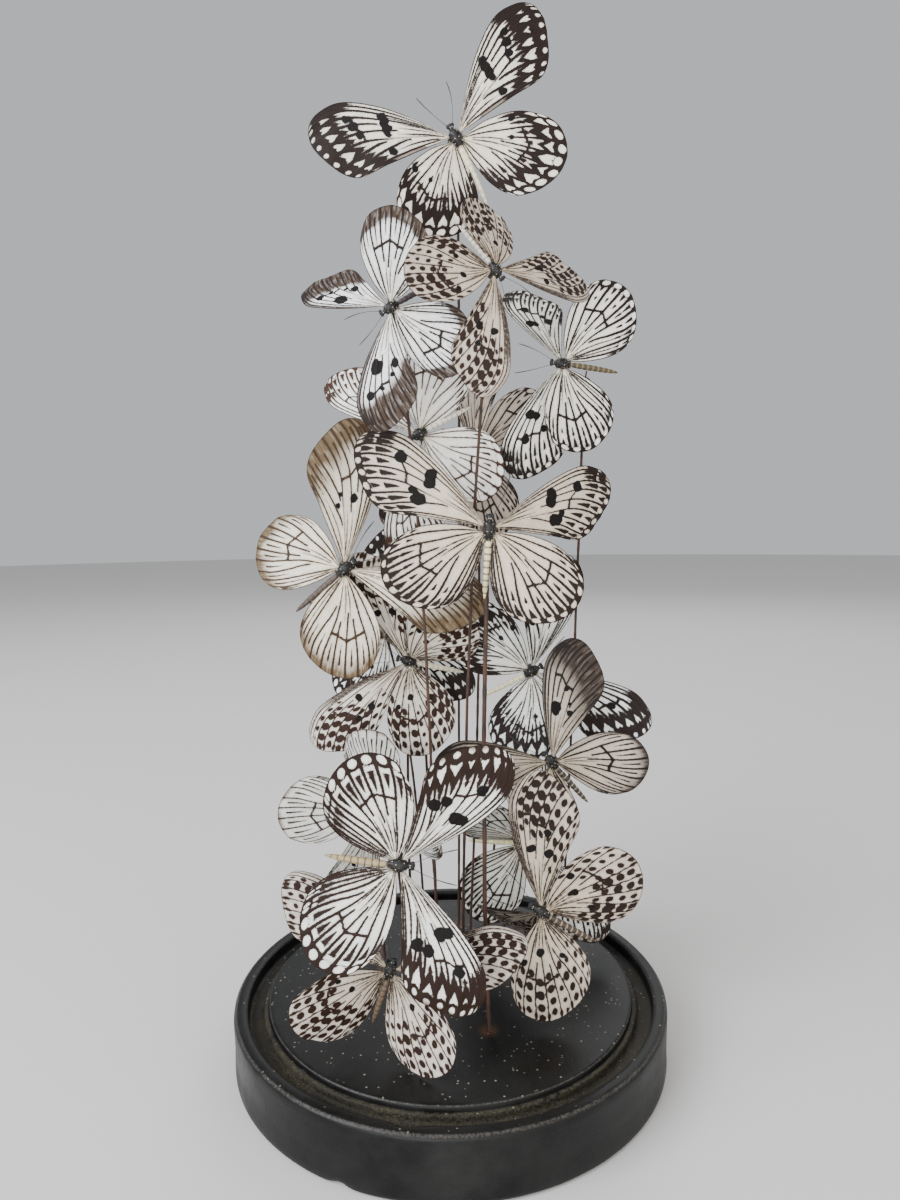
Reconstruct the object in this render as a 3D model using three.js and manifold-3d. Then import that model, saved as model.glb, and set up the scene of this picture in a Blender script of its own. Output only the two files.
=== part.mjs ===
// A display of mounted butterflies. Each dried insect sits on a rusty rod with a black bead at its tip,
// and the rods stand on a turned black wooden base whose groove takes the rim of a glass dome.
// Units are millimetres, +Z is up, and the origin is the centre of the base's underside.
import * as THREE from 'three';
import * as BufferGeometryUtils from 'three/addons/utils/BufferGeometryUtils.js';
import Module from 'manifold-3d';

const wasm = await Module();
wasm.setup();

// ---- driving dimensions -------------------------------------------------------------------------
const BASE_RADIUS = 110;
const BASE_HEIGHT = 30;
const RIM_WIDTH = 7.3;          // the outer ring, outside the groove
const GROOVE_WIDTH = 10;
const GROOVE_DEPTH = 7;
const EDGE_CHAMFER = 2;
const BASE_SEGMENTS = 64;

const ROD_RADIUS = 0.75;
const THICK_ROD_RADIUS = 1.05;
const PIN_RADIUS = 0.45;
const GAP = 0.3;                // clearance kept between pieces that touch
const SMALLEST_EDGE = 0.05;     // slivers finer than this are merged where parts are joined

const MODEL_FOREWING = 71;      // the wing outlines below are drawn for a forewing of this length
const WING_THICKNESS = 0.8;     // at the middle; the plate thins to its edge
const THORAX_RADIUS = 3.1;
const ABDOMEN_RADIUS = 1.8;
const ABDOMEN_LENGTH = 28;
const ABDOMEN_DROOP = 15;      // degrees that its tip falls away from the back
const WING_CURL = -15;         // how far a wing turns down, in degrees over CURL_LENGTH of it
const CURL_LENGTH = 60;
const BEAD_DROP = 8;           // from the thorax centre to the bead behind it, for a forewing of MODEL_FOREWING
const BEAD_RADIUS = 3;
const HEAD_FRONT = 8.5;         // distance from the thorax centre to the front of the head
const ABDOMEN_START = 4;        // distance from the thorax centre back to the abdomen
const ANTENNA_LENGTH = 22;
const ANTENNA_RADIUS = 0.35;
const LEG_RADIUS = 0.35;

// Wing outlines as [outward, forward] from the thorax centre: leading edge, outer margin, trailing edge.
const FOREWING = {
  root: [1.5, 2],
  leading: [[1.5, 2], [12, 18], [24, 33], [38, 45], [50, 47.5], [58, 45]],
  margin: [[58, 45], [61.5, 38], [60, 28], [55.5, 17], [48, 10.5]],
  trailing: [[48, 10.5], [34, 8], [18, 5], [1.5, 2]],
  steps: [6, 5, 4],
};
const HINDWING = {
  root: [1.5, 0],
  leading: [[1.5, 0], [16, 4], [32, 3.5], [44, -2.5]],
  margin: [[44, -2.5], [50.5, -11], [50, -22], [43, -30.5], [31, -35], [19, -33.5]],
  trailing: [[19, -33.5], [10, -25.5], [4, -12], [1.5, 0]],
  steps: [4, 7, 4],
};

// The specimens, each with its back to the front (-Y). at: thorax centre. heading: the head's direction,
// clockwise from up as seen from the front. forewing: its length. wings: fore left, fore right, hind left,
// hind right, each [sweep forward, lift] in degrees. rod: foot on the base, the point it leans by, and,
// where they differ from the usual, its tip and the radius of its bead.
const SPECIMENS = [
  { name: 'top', at: [8, -15, 442], heading: -27, forewing: 67,
    wings: [[-5, 5], [-5, 5], [-15, 25], [-10, 5]],
    rod: { foot: [5, 60], lean: [10, 70, 370] } },
  { name: 'upper_left', at: [-21, -45, 361], heading: -120, forewing: 54,
    wings: [[0, 20], [-5, -35], [5, 10], [-5, 10]],
    rod: { foot: [-6, -30], lean: [-7, -32, 270] } },
  { name: 'upper_middle', at: [22, -60, 372], heading: 142, forewing: 52,
    wings: [[-5, -35], [10, 15], [-20, -45], [0, 30]],
    rod: { foot: [6, -13], lean: [11, -14, 280] } },
  { name: 'upper_right', at: [62, 20, 348], heading: -82, forewing: 64,
    wings: [[-20, 20], [-10, -35], [10, 25], [-5, 5]],
    rod: { foot: [64, 42], lean: [72, 45, 200], tip: [73, 25, 339], bead: 3.5 } },
  { name: 'behind_left', at: [-11, 0, 312], heading: -118, forewing: 62,
    wings: [[0, 10], [-10, -20], [0, 5], [-15, 15]],
    rod: { foot: [-5, 25], lean: [-20, 40, 230] } },
  { name: 'behind_right', at: [18, 25, 303], heading: -70, forewing: 60,
    wings: [[0, 10], [-10, 20], [0, 10], [-5, 5]],
    rod: { foot: [10, 20], lean: [20, 40, 180] } },
  { name: 'middle_left', at: [-49, -15, 246], heading: 50, forewing: 70,
    wings: [[10, 20], [0, 10], [0, -25], [-15, 0]],
    rod: { foot: [-40, 30], lean: [-53, 38, 150] } },
  { name: 'centre', at: [20, -40, 264], heading: 4, forewing: 69,
    wings: [[-5, 10], [-15, -20], [-5, 10], [-15, 5]],
    rod: { foot: [18, -43], lean: [15, -35, 140], thick: true } },
  { name: 'lower_right', at: [53, -5, 147], heading: -40, forewing: 64,
    wings: [[5, 40], [5, 15], [-10, 25], [0, 35]],
    rod: { foot: [55, 5], lean: [57, 8, 90] } },
  { name: 'back_right', at: [44, 20, 189], heading: 62, forewing: 66,
    wings: [[5, 30], [0, 35], [5, 10], [-5, 35]],
    rod: { foot: [22, 48], lean: [25, 52, 110] } },
  { name: 'inner_left', at: [-19, 18, 196], heading: -76, forewing: 65,
    wings: [[0, 15], [0, 30], [5, 20], [0, 45]],
    rod: { foot: [-20, 28], lean: [-25, 33, 130] } },
  { name: 'back_left', at: [-35, 50, 206], heading: 70, forewing: 60,
    wings: [[-10, 5], [0, 35], [-15, 5], [-15, 50]],
    rod: { foot: [-15, 60], lean: [-20, 70, 150] } },
  { name: 'front', at: [-22, -74, 125], heading: 95, forewing: 69,
    wings: [[0, 20], [-5, 15], [5, 15], [-10, 20]],
    rod: { foot: [-18, -45], lean: [-20, -45, 90] } },
  { name: 'back_low', at: [-40, 10, 122], heading: 150, forewing: 66,
    wings: [[-20, 70], [10, 35], [-20, 45], [5, 5]],
    rod: { foot: [-35, 12], lean: [-38, 20, 90] } },
  { name: 'front_low', at: [-27, -58, 68], heading: 18, forewing: 62,
    wings: [[-10, 5], [-5, 10], [-10, 30], [-5, 40]],
    rod: { foot: [-22, -45], lean: [-24, -44, 50] } },
  { name: 'right_low', at: [44, -40, 86], heading: -57, forewing: 68,
    wings: [[-35, -50], [0, 10], [-10, 10], [5, 20]],
    rod: { foot: [45, -10], lean: [45, -20, 60] } },
  { name: 'back_right_low', at: [40, 30, 92], heading: 90, forewing: 66,
    wings: [[-30, -45], [5, 20], [-10, 50], [-5, 10]],
    rod: { foot: [30, 42], lean: [35, 45, 70] } },
];

const radians = THREE.MathUtils.degToRad;
const vector = ([x, y, z]) => new THREE.Vector3(x, y, z);

// ---- materials ----------------------------------------------------------------------------------
const blackWood = new THREE.MeshStandardMaterial({ color: '#26272a', roughness: 0.45 });
const wingScales = new THREE.MeshStandardMaterial({ color: '#d9d2c2', roughness: 0.8 });
const rustyIron = new THREE.MeshStandardMaterial({ color: '#6d4630', roughness: 0.7, metalness: 0.6 });

// ---- solids -------------------------------------------------------------------------------------
function solidOf(geometry) {
  const bare = geometry.clone();
  bare.deleteAttribute('normal');
  bare.deleteAttribute('uv');
  const merged = BufferGeometryUtils.mergeVertices(bare, 1e-4);
  return new wasm.Manifold(new wasm.Mesh({
    numProp: 3,
    vertProperties: new Float32Array(merged.attributes.position.array),
    triVerts: new Uint32Array(merged.index.array),
  }));
}

function geometryOf(solid) {
  const mesh = solid.getMesh();
  const geometry = new THREE.BufferGeometry();
  geometry.setAttribute('position', new THREE.BufferAttribute(new Float32Array(mesh.vertProperties), 3));
  geometry.setIndex(new THREE.BufferAttribute(new Uint32Array(mesh.triVerts), 1));
  geometry.computeVertexNormals();
  return geometry;
}

// A closed tube of round sections: centres along the way, a radius at each, and a point at both ends.
function taperedTube(centres, radii, sides) {
  const positions = [centres[0].clone()];
  const last = centres.length - 1;
  let side = new THREE.Vector3(1, 0, 0);
  for (let i = 1; i < last; i++) {
    const along = centres[i + 1].clone().sub(centres[i - 1]).normalize();
    side = side.clone().addScaledVector(along, -side.dot(along)).normalize();
    const up = new THREE.Vector3().crossVectors(along, side);
    for (let j = 0; j < sides; j++) {
      const angle = 2 * Math.PI * j / sides;
      positions.push(centres[i].clone()
        .addScaledVector(side, radii[i] * Math.cos(angle))
        .addScaledVector(up, radii[i] * Math.sin(angle)));
    }
  }
  positions.push(centres[last].clone());
  const faces = [];
  const end = positions.length - 1;
  for (let j = 0; j < sides; j++) {
    const next = (j + 1) % sides;
    faces.push(0, 1 + next, 1 + j);
    for (let i = 0; i < last - 2; i++) {
      const here = 1 + i * sides;
      faces.push(here + j, here + next, here + sides + j);
      faces.push(here + next, here + sides + next, here + sides + j);
    }
    faces.push(end, end - sides + j, end - sides + next);
  }
  const geometry = new THREE.BufferGeometry().setFromPoints(positions);
  geometry.setIndex(faces);
  return solidOf(geometry);
}

// ---- base ---------------------------------------------------------------------------------------
function base() {
  const grooveOuter = BASE_RADIUS - RIM_WIDTH;
  const grooveInner = grooveOuter - GROOVE_WIDTH;
  const floor = BASE_HEIGHT - GROOVE_DEPTH;
  const profile = [
    [0, 0], [BASE_RADIUS - EDGE_CHAMFER, 0], [BASE_RADIUS, EDGE_CHAMFER],
    [BASE_RADIUS, BASE_HEIGHT - EDGE_CHAMFER], [BASE_RADIUS - EDGE_CHAMFER, BASE_HEIGHT],
    [grooveOuter, BASE_HEIGHT], [grooveOuter, floor], [grooveInner, floor],
    [grooveInner, BASE_HEIGHT], [0, BASE_HEIGHT],
  ].map(([r, z]) => new THREE.Vector2(r, z));
  const mesh = new THREE.Mesh(new THREE.LatheGeometry(profile, BASE_SEGMENTS), blackWood);
  mesh.name = 'base';
  mesh.rotation.x = Math.PI / 2;
  return mesh;
}

// ---- butterflies --------------------------------------------------------------------------------
// A flat wing point is swept about the root, then bent into an arc along the wing.
function bendWing([outward, forward], root, side, [sweep, lift]) {
  const turned = new THREE.Vector2(outward - root[0], forward - root[1])
    .rotateAround(new THREE.Vector2(), radians(sweep));
  const start = radians(lift);
  const bend = radians(WING_CURL) / CURL_LENGTH;
  const angle = start + bend * turned.x;
  const rise = (Math.cos(start) - Math.cos(angle)) / bend;
  const reach = (Math.sin(angle) - Math.sin(start)) / bend;
  return new THREE.Vector3(side * (reach + root[0]), turned.y + root[1], rise);
}

// The wing is a thin plate: its outline joined, above and below, to three points along its middle.
function wing(shape, side, pose) {
  const outline = [];
  [shape.leading, shape.margin, shape.trailing].forEach((points, part) => {
    const curve = new THREE.SplineCurve(points.map((point) => new THREE.Vector2(...point)));
    for (let i = 0; i < shape.steps[part]; i++) outline.push(curve.getPoint(i / shape.steps[part]));
  });
  const far = outline[shape.steps[0] + Math.round(shape.steps[1] / 2)];
  const middles = [0.3, 0.6, 0.82].map((share) => [
    shape.root[0] + share * (far.x - shape.root[0]),
    shape.root[1] + share * (far.y - shape.root[1]),
  ]);
  const count = outline.length;
  const positions = outline.map((point) => bendWing([point.x, point.y], shape.root, side, pose));
  for (const raise of [WING_THICKNESS / 2, -WING_THICKNESS / 2]) {
    for (const middle of middles) {
      const place = bendWing(middle, shape.root, side, pose);
      place.z += raise;
      positions.push(place);
    }
  }
  const nearest = (point) => middles
    .map((middle) => Math.hypot(point.x - middle[0], point.y - middle[1]))
    .reduce((best, distance, i, all) => (distance < all[best] ? i : best), 0);
  const faces = [];
  const face = (a, b, c) => faces.push(...(side > 0 ? [a, b, c] : [a, c, b]));
  for (let i = 0; i < count; i++) {
    const next = (i + 1) % count;
    const here = nearest(outline[i]);
    const there = nearest(outline[next]);
    const top = count;
    const under = count + middles.length;
    face(i, top + here, next);
    face(i, next, under + here);
    const step = Math.sign(there - here);
    for (let m = here; m !== there; m += step) {
      face(next, top + m, top + m + step);
      face(next, under + m + step, under + m);
    }
  }
  const geometry = new THREE.BufferGeometry().setFromPoints(positions);
  geometry.setIndex(faces);
  return solidOf(geometry);
}

function abdomenLine() {
  const steps = 6;
  const points = [new THREE.Vector3(0, -ABDOMEN_START, 0)];
  for (let i = 0; i < steps; i++) {
    const fall = radians(ABDOMEN_DROOP) * (0.3 + 0.7 * i / steps);
    const step = new THREE.Vector3(0, -Math.cos(fall), -Math.sin(fall));
    points.push(points[i].clone().addScaledVector(step, ABDOMEN_LENGTH / steps));
  }
  return points;
}

function body() {
  const front = [HEAD_FRONT, HEAD_FRONT - 1.4, HEAD_FRONT - 3.4, 4.2, 0, -3]
    .map((y) => new THREE.Vector3(0, y, 0));
  const frontRadii = [0, 1.5, 1.2, 2.6, THORAX_RADIUS, 2.2];
  const rear = abdomenLine().slice(1);
  const rearRadii = [0.8, 1, 1, 0.85, 0.55, 0].map((share) => share * ABDOMEN_RADIUS);
  return taperedTube([...front, ...rear], [...frontRadii, ...rearRadii], 6);
}

function antenna(side) {
  const start = new THREE.Vector3(side * 0.8, HEAD_FRONT - 2, 0.4);
  const along = new THREE.Vector3(side * 0.36, 1, -0.1).normalize();
  const centres = [0, 0.1, 0.9, 1].map((share) => start.clone().addScaledVector(along, share * ANTENNA_LENGTH));
  return taperedTube(centres, [0, ANTENNA_RADIUS, ANTENNA_RADIUS * 1.4, 0], 3);
}

// Two pairs of walking legs, folded close beside the thorax; the front pair is too small to model.
function leg(side, row) {
  const back = row * 2.4;
  const centres = [
    [side * 1.2, 1.6 - back, -1],
    [side * 3.4, 2.6 - back, -2],
    [side * 3.7, 1.4 - 1.4 * back, -3.3],
    [side * 3.1, -1.2 - 2 * back, -4],
  ].map(vector);
  return taperedTube(centres, [0, LEG_RADIUS, LEG_RADIUS, 0], 3);
}

function butterfly(specimen) {
  const [foreLeft, foreRight, hindLeft, hindRight] = specimen.wings;
  let solid = body();
  const limbs = [
    wing(FOREWING, -1, foreLeft), wing(FOREWING, 1, foreRight),
    wing(HINDWING, -1, hindLeft), wing(HINDWING, 1, hindRight),
    antenna(-1), antenna(1),
  ];
  for (const side of [-1, 1]) {
    for (const row of [0, 1]) limbs.push(leg(side, row));
  }
  for (const limb of limbs) solid = solid.add(limb);
  const mesh = new THREE.Mesh(geometryOf(solid.simplify(SMALLEST_EDGE)), wingScales);
  mesh.name = `butterfly_${specimen.name}`;
  mesh.position.fromArray(specimen.at);
  mesh.quaternion
    .setFromAxisAngle(new THREE.Vector3(1, 0, 0), radians(90))
    .multiply(new THREE.Quaternion().setFromAxisAngle(new THREE.Vector3(0, 0, 1), radians(-specimen.heading)));
  mesh.scale.setScalar(specimen.forewing / MODEL_FOREWING);
  mesh.updateMatrixWorld();
  return mesh;
}

// ---- rods ---------------------------------------------------------------------------------------
// The rod curves from its foot to its bead; a short pin leads from the bead to the insect's body.
function rod(specimen, insect) {
  const { foot, lean, tip, bead = BEAD_RADIUS, thick } = specimen.rod;
  const [x, y, z] = specimen.at;
  const top = vector(tip ?? [x, y + BEAD_DROP * insect.scale.x, z]);
  const route = new THREE.QuadraticBezierCurve3(
    new THREE.Vector3(foot[0], foot[1], BASE_HEIGHT + GAP), vector(lean), top);
  const radius = thick ? THICK_ROD_RADIUS : ROD_RADIUS;
  const sides = 6;
  const section = new THREE.Shape(Array.from({ length: sides }, (_, i) => new THREE.Vector2(
    radius * Math.cos(2 * Math.PI * i / sides), radius * Math.sin(2 * Math.PI * i / sides))));
  const steps = Math.max(2, Math.round(route.getLength() / 60));
  let solid = solidOf(new THREE.ExtrudeGeometry(section, { steps, extrudePath: route }));
  const ball = new THREE.SphereGeometry(bead, 7, 5).translate(top.x, top.y, top.z);
  solid = solid.add(solidOf(ball));

  const spine = [[0, HEAD_FRONT - 3.4, 0], [0, 0, 0]].map(vector).concat(abdomenLine());
  const places = spine.map((point) => point.applyMatrix4(insect.matrixWorld));
  const target = places.reduce((best, place) => (
    place.distanceTo(top) < best.distanceTo(top) ? place : best));
  const away = target.clone().sub(top);
  const reach = away.length() - THORAX_RADIUS * insect.scale.x - GAP;
  if (reach > bead) {
    const along = away.normalize();
    const centres = [0, 0.1, 0.9, 1].map((share) => top.clone().addScaledVector(along, share * reach));
    solid = solid.add(taperedTube(centres, [0, PIN_RADIUS, PIN_RADIUS, 0], 5));
  }
  const mesh = new THREE.Mesh(geometryOf(solid.simplify(SMALLEST_EDGE)), rustyIron);
  mesh.name = `rod_${specimen.name}`;
  return mesh;
}

// ---- the whole display --------------------------------------------------------------------------
const display = new THREE.Group();
display.add(base());
for (const specimen of SPECIMENS) {
  const insect = butterfly(specimen);
  display.add(insect, rod(specimen, insect));
}

export default display;
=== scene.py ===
import math

import bpy
import numpy as np
from mathutils import Matrix


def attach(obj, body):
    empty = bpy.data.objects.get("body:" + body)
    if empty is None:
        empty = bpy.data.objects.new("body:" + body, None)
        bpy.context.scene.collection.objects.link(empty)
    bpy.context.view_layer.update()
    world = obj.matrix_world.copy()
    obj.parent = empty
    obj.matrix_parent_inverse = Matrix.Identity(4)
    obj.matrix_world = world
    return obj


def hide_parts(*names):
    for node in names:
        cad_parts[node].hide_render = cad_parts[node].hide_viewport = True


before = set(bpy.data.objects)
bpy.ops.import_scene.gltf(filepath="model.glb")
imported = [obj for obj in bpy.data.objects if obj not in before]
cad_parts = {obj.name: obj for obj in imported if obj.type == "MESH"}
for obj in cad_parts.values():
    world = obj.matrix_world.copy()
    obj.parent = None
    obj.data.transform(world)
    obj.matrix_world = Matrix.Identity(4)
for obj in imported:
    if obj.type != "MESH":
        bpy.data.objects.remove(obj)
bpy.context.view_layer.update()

# --- Camera, floor and light --------------------------------------------------------------------
# A close, low view straight at the front of the display, on a pale floor under soft window light.
# Lengths in this file are millimetres until a mesh is made, where they become metres.
FOCAL_PX = 820          # focal length in pixels of a 900 x 1200 frame
FRAME_HEIGHT_PX = 1200
SENSOR_MM = 36
CAMERA_AT = (2.2, -407.8, 269)
CAMERA_PITCH = -5.5     # degrees, down
CAMERA_ROLL = -0.7
FLOOR_RADIUS = 6        # metres
FLOOR_SIDES = 96
MM = 0.001

camera = bpy.data.objects.new("camera", bpy.data.cameras.new("camera"))
camera.data.sensor_fit = "VERTICAL"
camera.data.sensor_height = SENSOR_MM
camera.data.lens = FOCAL_PX / FRAME_HEIGHT_PX * SENSOR_MM
camera.data.clip_start = 0.01
camera.matrix_world = (
    Matrix.Translation([c * MM for c in CAMERA_AT])
    @ Matrix.Rotation(math.radians(90 + CAMERA_PITCH), 4, "X")
    @ Matrix.Rotation(math.radians(CAMERA_ROLL), 4, "Z")
)
bpy.context.scene.collection.objects.link(camera)
bpy.context.scene.camera = camera


def linear(hex_colour):
    """A hex sRGB colour as linear red, green, blue and an alpha of 1."""
    srgb = np.array([int(hex_colour[i : i + 2], 16) for i in (1, 3, 5)]) / 255
    low = srgb / 12.92
    high = ((srgb + 0.055) / 1.055) ** 2.4
    return (*np.where(srgb <= 0.04045, low, high).tolist(), 1.0)


def add(tree, kind, inputs=None, out=0, **settings):
    """Adds one shader node, by its kind without the word ShaderNode, and returns one of its outputs.
    Settings go on the node itself. inputs are {socket name or number: a value or another node's output}."""
    made = tree.nodes.new("ShaderNode" + kind)
    for name, value in settings.items():
        setattr(made, name, value)
    for socket, value in (inputs or {}).items():
        if isinstance(value, bpy.types.NodeSocket):
            tree.links.new(value, made.inputs[socket])
        else:
            made.inputs[socket].default_value = value
    return made.outputs[out]


def new_material(name):
    """A new material with nodes, its node tree and its shader."""
    material = bpy.data.materials.new(name)
    material.use_nodes = True
    tree = material.node_tree
    return material, tree, tree.nodes["Principled BSDF"]


def area_light(name, at, aim, size, power, colour):
    """A square soft light at a point in metres, turned to face another point."""
    lamp = bpy.data.lights.new(name, "AREA")
    lamp.size = size
    lamp.energy = power
    lamp.color = linear(colour)[:3]
    thing = bpy.data.objects.new(name, lamp)
    back = np.array(at, float) - np.array(aim, float)
    back /= np.linalg.norm(back)
    side = np.cross((0, 0, 1), back)
    side /= np.linalg.norm(side)
    up = np.cross(back, side)
    turned = np.eye(4)
    turned[:3, 0], turned[:3, 1], turned[:3, 2], turned[:3, 3] = side, up, back, at
    thing.matrix_world = Matrix(turned.tolist())
    bpy.context.scene.collection.objects.link(thing)


area_light("window", (-1.5, -1.1, 1.5), (0, 0, 0.2), 1.6, 78, "#f6f8ff")
area_light("fill", (1.6, -1.2, 0.9), (0, 0, 0.25), 1.8, 18, "#fff6ec")
area_light("low", (-0.2, -1.3, 0.12), (0, 0, 0.42), 1.0, 24, "#ffffff")
area_light("back", (0.4, 1.6, 1.6), (0, 0, 0.2), 1.6, 14, "#ffffff")

world = bpy.data.worlds.new("studio")
bpy.context.scene.world = world
world.use_nodes = True
world.node_tree.nodes["Background"].inputs["Color"].default_value = linear("#c9cbcf")
world.node_tree.nodes["Background"].inputs["Strength"].default_value = 0.95

floor_mesh = bpy.data.meshes.new("floor")
turns = np.linspace(0, 2 * np.pi, FLOOR_SIDES, endpoint=False)
ring = np.column_stack([FLOOR_RADIUS * np.cos(turns), FLOOR_RADIUS * np.sin(turns), np.zeros(FLOOR_SIDES)])
floor_mesh.from_pydata(ring.tolist(), [], [list(range(FLOOR_SIDES))])
floor = bpy.data.objects.new("floor", floor_mesh)
bpy.context.scene.collection.objects.link(floor)
floor_material, _, floor_shader = new_material("pale_floor")
floor_shader.inputs["Base Color"].default_value = linear("#d6d4d1")
floor_shader.inputs["Roughness"].default_value = 0.9
floor_mesh.materials.append(floor_material)


# --- Base ---------------------------------------------------------------------------------------
# A solid disc of close-grained wood, turned on a lathe and stained black, with a wax finish.
# A groove inside the rim takes the dome's edge; it has a small ledge and holds years of dust.
BASE_TOP = 30
GROOVE_OUTER = 102.7
GROOVE_INNER = 92.7
BASE_PROFILE = [
    (0, 0), (40, 0), (80, 0), (106.5, 0), (108.6, 0.5), (109.6, 1.6), (109.85, 4), (109.5, 12),
    (109.6, 20), (109.8, 26.5), (109.5, 28.4), (108.4, 29.6), (106.8, 30), (104.6, 29.9),
    (103.3, 29.5), (102.8, 28.6), (102.7, 26), (102.6, 24.2), (101.9, 23.2), (100, 23.05),
    (97, 23.1), (95.6, 23.3), (95.0, 24), (94.9, 26.2), (94.6, 26.8), (93.5, 27), (92.9, 27.4),
    (92.7, 28.8), (92.3, 29.6), (91.4, 29.95), (88, 30), (60, 30), (30, 30), (0, 30),
]
# Chips and dents in its edges: the angle round the base, radius, height, half length and depth of each.
CHIPS = [
    (-100, 103.2, 29.7, 4.5, 1.5), (-114.7, 109.3, 0.6, 4, 1.6), (-52, 109, 29.2, 2, 0.5),
    (-141, 109, 29.3, 3, 0.6), (35, 109, 29.3, 3, 0.7), (110, 109, 0.8, 4, 0.9),
]
INNER_CHIP_RADIUS = 103.2   # the one chip that breaks into the groove
CHIP_HALF_WIDTH = 2.2
# Edges that have rubbed pale, and that also carry a painted highlight along the rim: the radius, height and
# reach of each.
RUBBED_AND_LIT_EDGES = [(108.6, 29.5, 1.3), (103.0, 29.2, 0.8), (92.4, 29.6, 0.7), (109.4, 1, 1.2)]
SHARP_ANGLE = 55            # degrees between faces, from which an edge is shaded sharp


def ripple(points, size, seed):
    """Smooth random waves at points (n, 3): the mean of eight sines, each about size mm long."""
    rng = np.random.default_rng(seed)
    headings = rng.normal(size=(8, points.shape[-1]))
    headings /= np.linalg.norm(headings, axis=1, keepdims=True)
    lengths = size * rng.uniform(0.7, 1.5, 8)
    phases = rng.uniform(0, 2 * np.pi, 8)
    return np.sin(points @ (headings / lengths[:, None] * 2 * np.pi).T + phases).mean(-1) * 1.8


def along_profile(points, spacing):
    """Points along a broken line every spacing or less, keeping its corners."""
    points = np.array(points, float)
    parts = []
    for start, end in zip(points[:-1], points[1:]):
        count = max(1, math.ceil(np.linalg.norm(end - start) / spacing))
        parts.append(start + (end - start) * np.arange(count)[:, None] / count)
    return np.vstack(parts + [points[-1:]])


def grid_faces(rows, columns, wrap=False):
    """The quads of a grid of rows x columns points; wrap joins the last column to the first."""
    across = np.arange(columns if wrap else columns - 1)
    here = (np.arange(rows - 1)[:, None] * columns + across).ravel()
    after = (np.arange(rows - 1)[:, None] * columns + (across + 1) % columns).ravel()
    return np.column_stack([here, after, after + columns, here + columns])


def make_piece(name, parts, materials):
    """One mesh object from parts: each has points (n, 3) in mm, faces (m, 3 or 4), a material number,
    and per-point values by attribute name: one number, a colour of four, or two for a UV map."""
    points = np.vstack([part["points"] for part in parts])
    starts = np.cumsum([0] + [len(part["points"]) for part in parts])
    corner_lists, sizes, slots = [], [], []
    for part, start in zip(parts, starts):
        for faces in part["faces"]:
            corner_lists.append((faces + start).ravel())
            sizes.append(np.full(len(faces), faces.shape[1]))
            slots.append(np.full(len(faces), part.get("material", 0)))
    corners = np.concatenate(corner_lists).astype(np.int32)
    sizes = np.concatenate(sizes).astype(np.int32)
    mesh = bpy.data.meshes.new(name)
    mesh.vertices.add(len(points))
    mesh.vertices.foreach_set("co", (points * MM).astype(np.float32).ravel())
    mesh.loops.add(len(corners))
    mesh.loops.foreach_set("vertex_index", corners)
    mesh.polygons.add(len(sizes))
    mesh.polygons.foreach_set("loop_start", (np.cumsum(sizes) - sizes).astype(np.int32))
    mesh.polygons.foreach_set("material_index", np.concatenate(slots).astype(np.int32))
    mesh.polygons.foreach_set("use_smooth", np.ones(len(sizes), bool))
    mesh.update(calc_edges=True)
    names = sorted({key for part in parts for key in part.get("values", {})})
    for key in names:
        example = next(part["values"][key] for part in parts if key in part.get("values", {}))
        width = 1 if example.ndim == 1 else example.shape[1]
        whole = np.zeros((len(points), width), np.float32)
        for part, start in zip(parts, starts):
            if key in part.get("values", {}):
                whole[start : start + len(part["points"])] = part["values"][key].reshape(-1, width)
        if width == 2:
            mesh.uv_layers.new(name=key).data.foreach_set("uv", whole[corners].ravel())
        elif width == 4:
            mesh.attributes.new(key, "FLOAT_COLOR", "POINT").data.foreach_set("color", whole.ravel())
        else:
            mesh.attributes.new(key, "FLOAT", "POINT").data.foreach_set("value", whole.ravel())
    for material in materials:
        mesh.materials.append(material)
    mesh.set_sharp_from_angle(angle=math.radians(SHARP_ANGLE))
    piece = bpy.data.objects.new(name, mesh)
    bpy.context.scene.collection.objects.link(piece)
    return piece


def turned_base(segments=288):
    """The profile carried round the Z axis, with chips, dents and dust heaped as small height changes."""
    profile = along_profile(BASE_PROFILE, 1.6)[1:-1]
    turn = np.linspace(0, 2 * np.pi, segments, endpoint=False)
    radius = np.repeat(profile[:, :1], segments, 1)
    height = np.repeat(profile[:, 1:], segments, 1)
    place = np.stack([radius * np.cos(turn), radius * np.sin(turn), height], -1)
    flat = place.reshape(-1, 3)
    in_groove = (radius > GROOVE_INNER + 0.5) & (radius < GROOVE_OUTER - 0.1)
    in_groove &= (height > 20) & (height < 27.2)
    front = np.clip(0.5 - 0.5 * np.sin(turn), 0, 1)[None, :] ** 1.5
    heap = (0.5 + 0.5 * ripple(flat, 5, 3).reshape(radius.shape)) * (0.15 + 0.75 * front)
    height = height + np.where(in_groove, heap, 0)
    dents = ripple(flat, 26, 4).reshape(radius.shape)
    side = (radius > 108.8) & (height > 3) & (height < 28)
    radius = radius - np.where(side, 0.18 * np.abs(dents), 0)
    for angle, r, z, along, depth in CHIPS:
        swing = np.angle(np.exp(1j * (turn - math.radians(angle)))) * r
        far = (swing / along) ** 2 + ((radius - r) ** 2 + (height - z) ** 2) / CHIP_HALF_WIDTH**2
        bite = depth * np.exp(-far)
        height = height + bite * (-1 if z > BASE_TOP / 2 else 1) * 0.7
        radius = radius + bite * (1 if r == INNER_CHIP_RADIUS else -1) * 0.6
    place = np.stack([radius * np.cos(turn), radius * np.sin(turn), height], -1)
    rows = len(profile)
    points = np.vstack([place.reshape(-1, 3), [(0, 0, 0), (0, 0, BASE_TOP)]])
    first = np.arange(segments)
    after = (first + 1) % segments
    last_row = (rows - 1) * segments
    under = np.column_stack([np.full(segments, rows * segments), after, first])
    top = np.column_stack([np.full(segments, rows * segments + 1), last_row + first, last_row + after])
    return points, [grid_faces(rows, segments, wrap=True), under, top]


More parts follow.
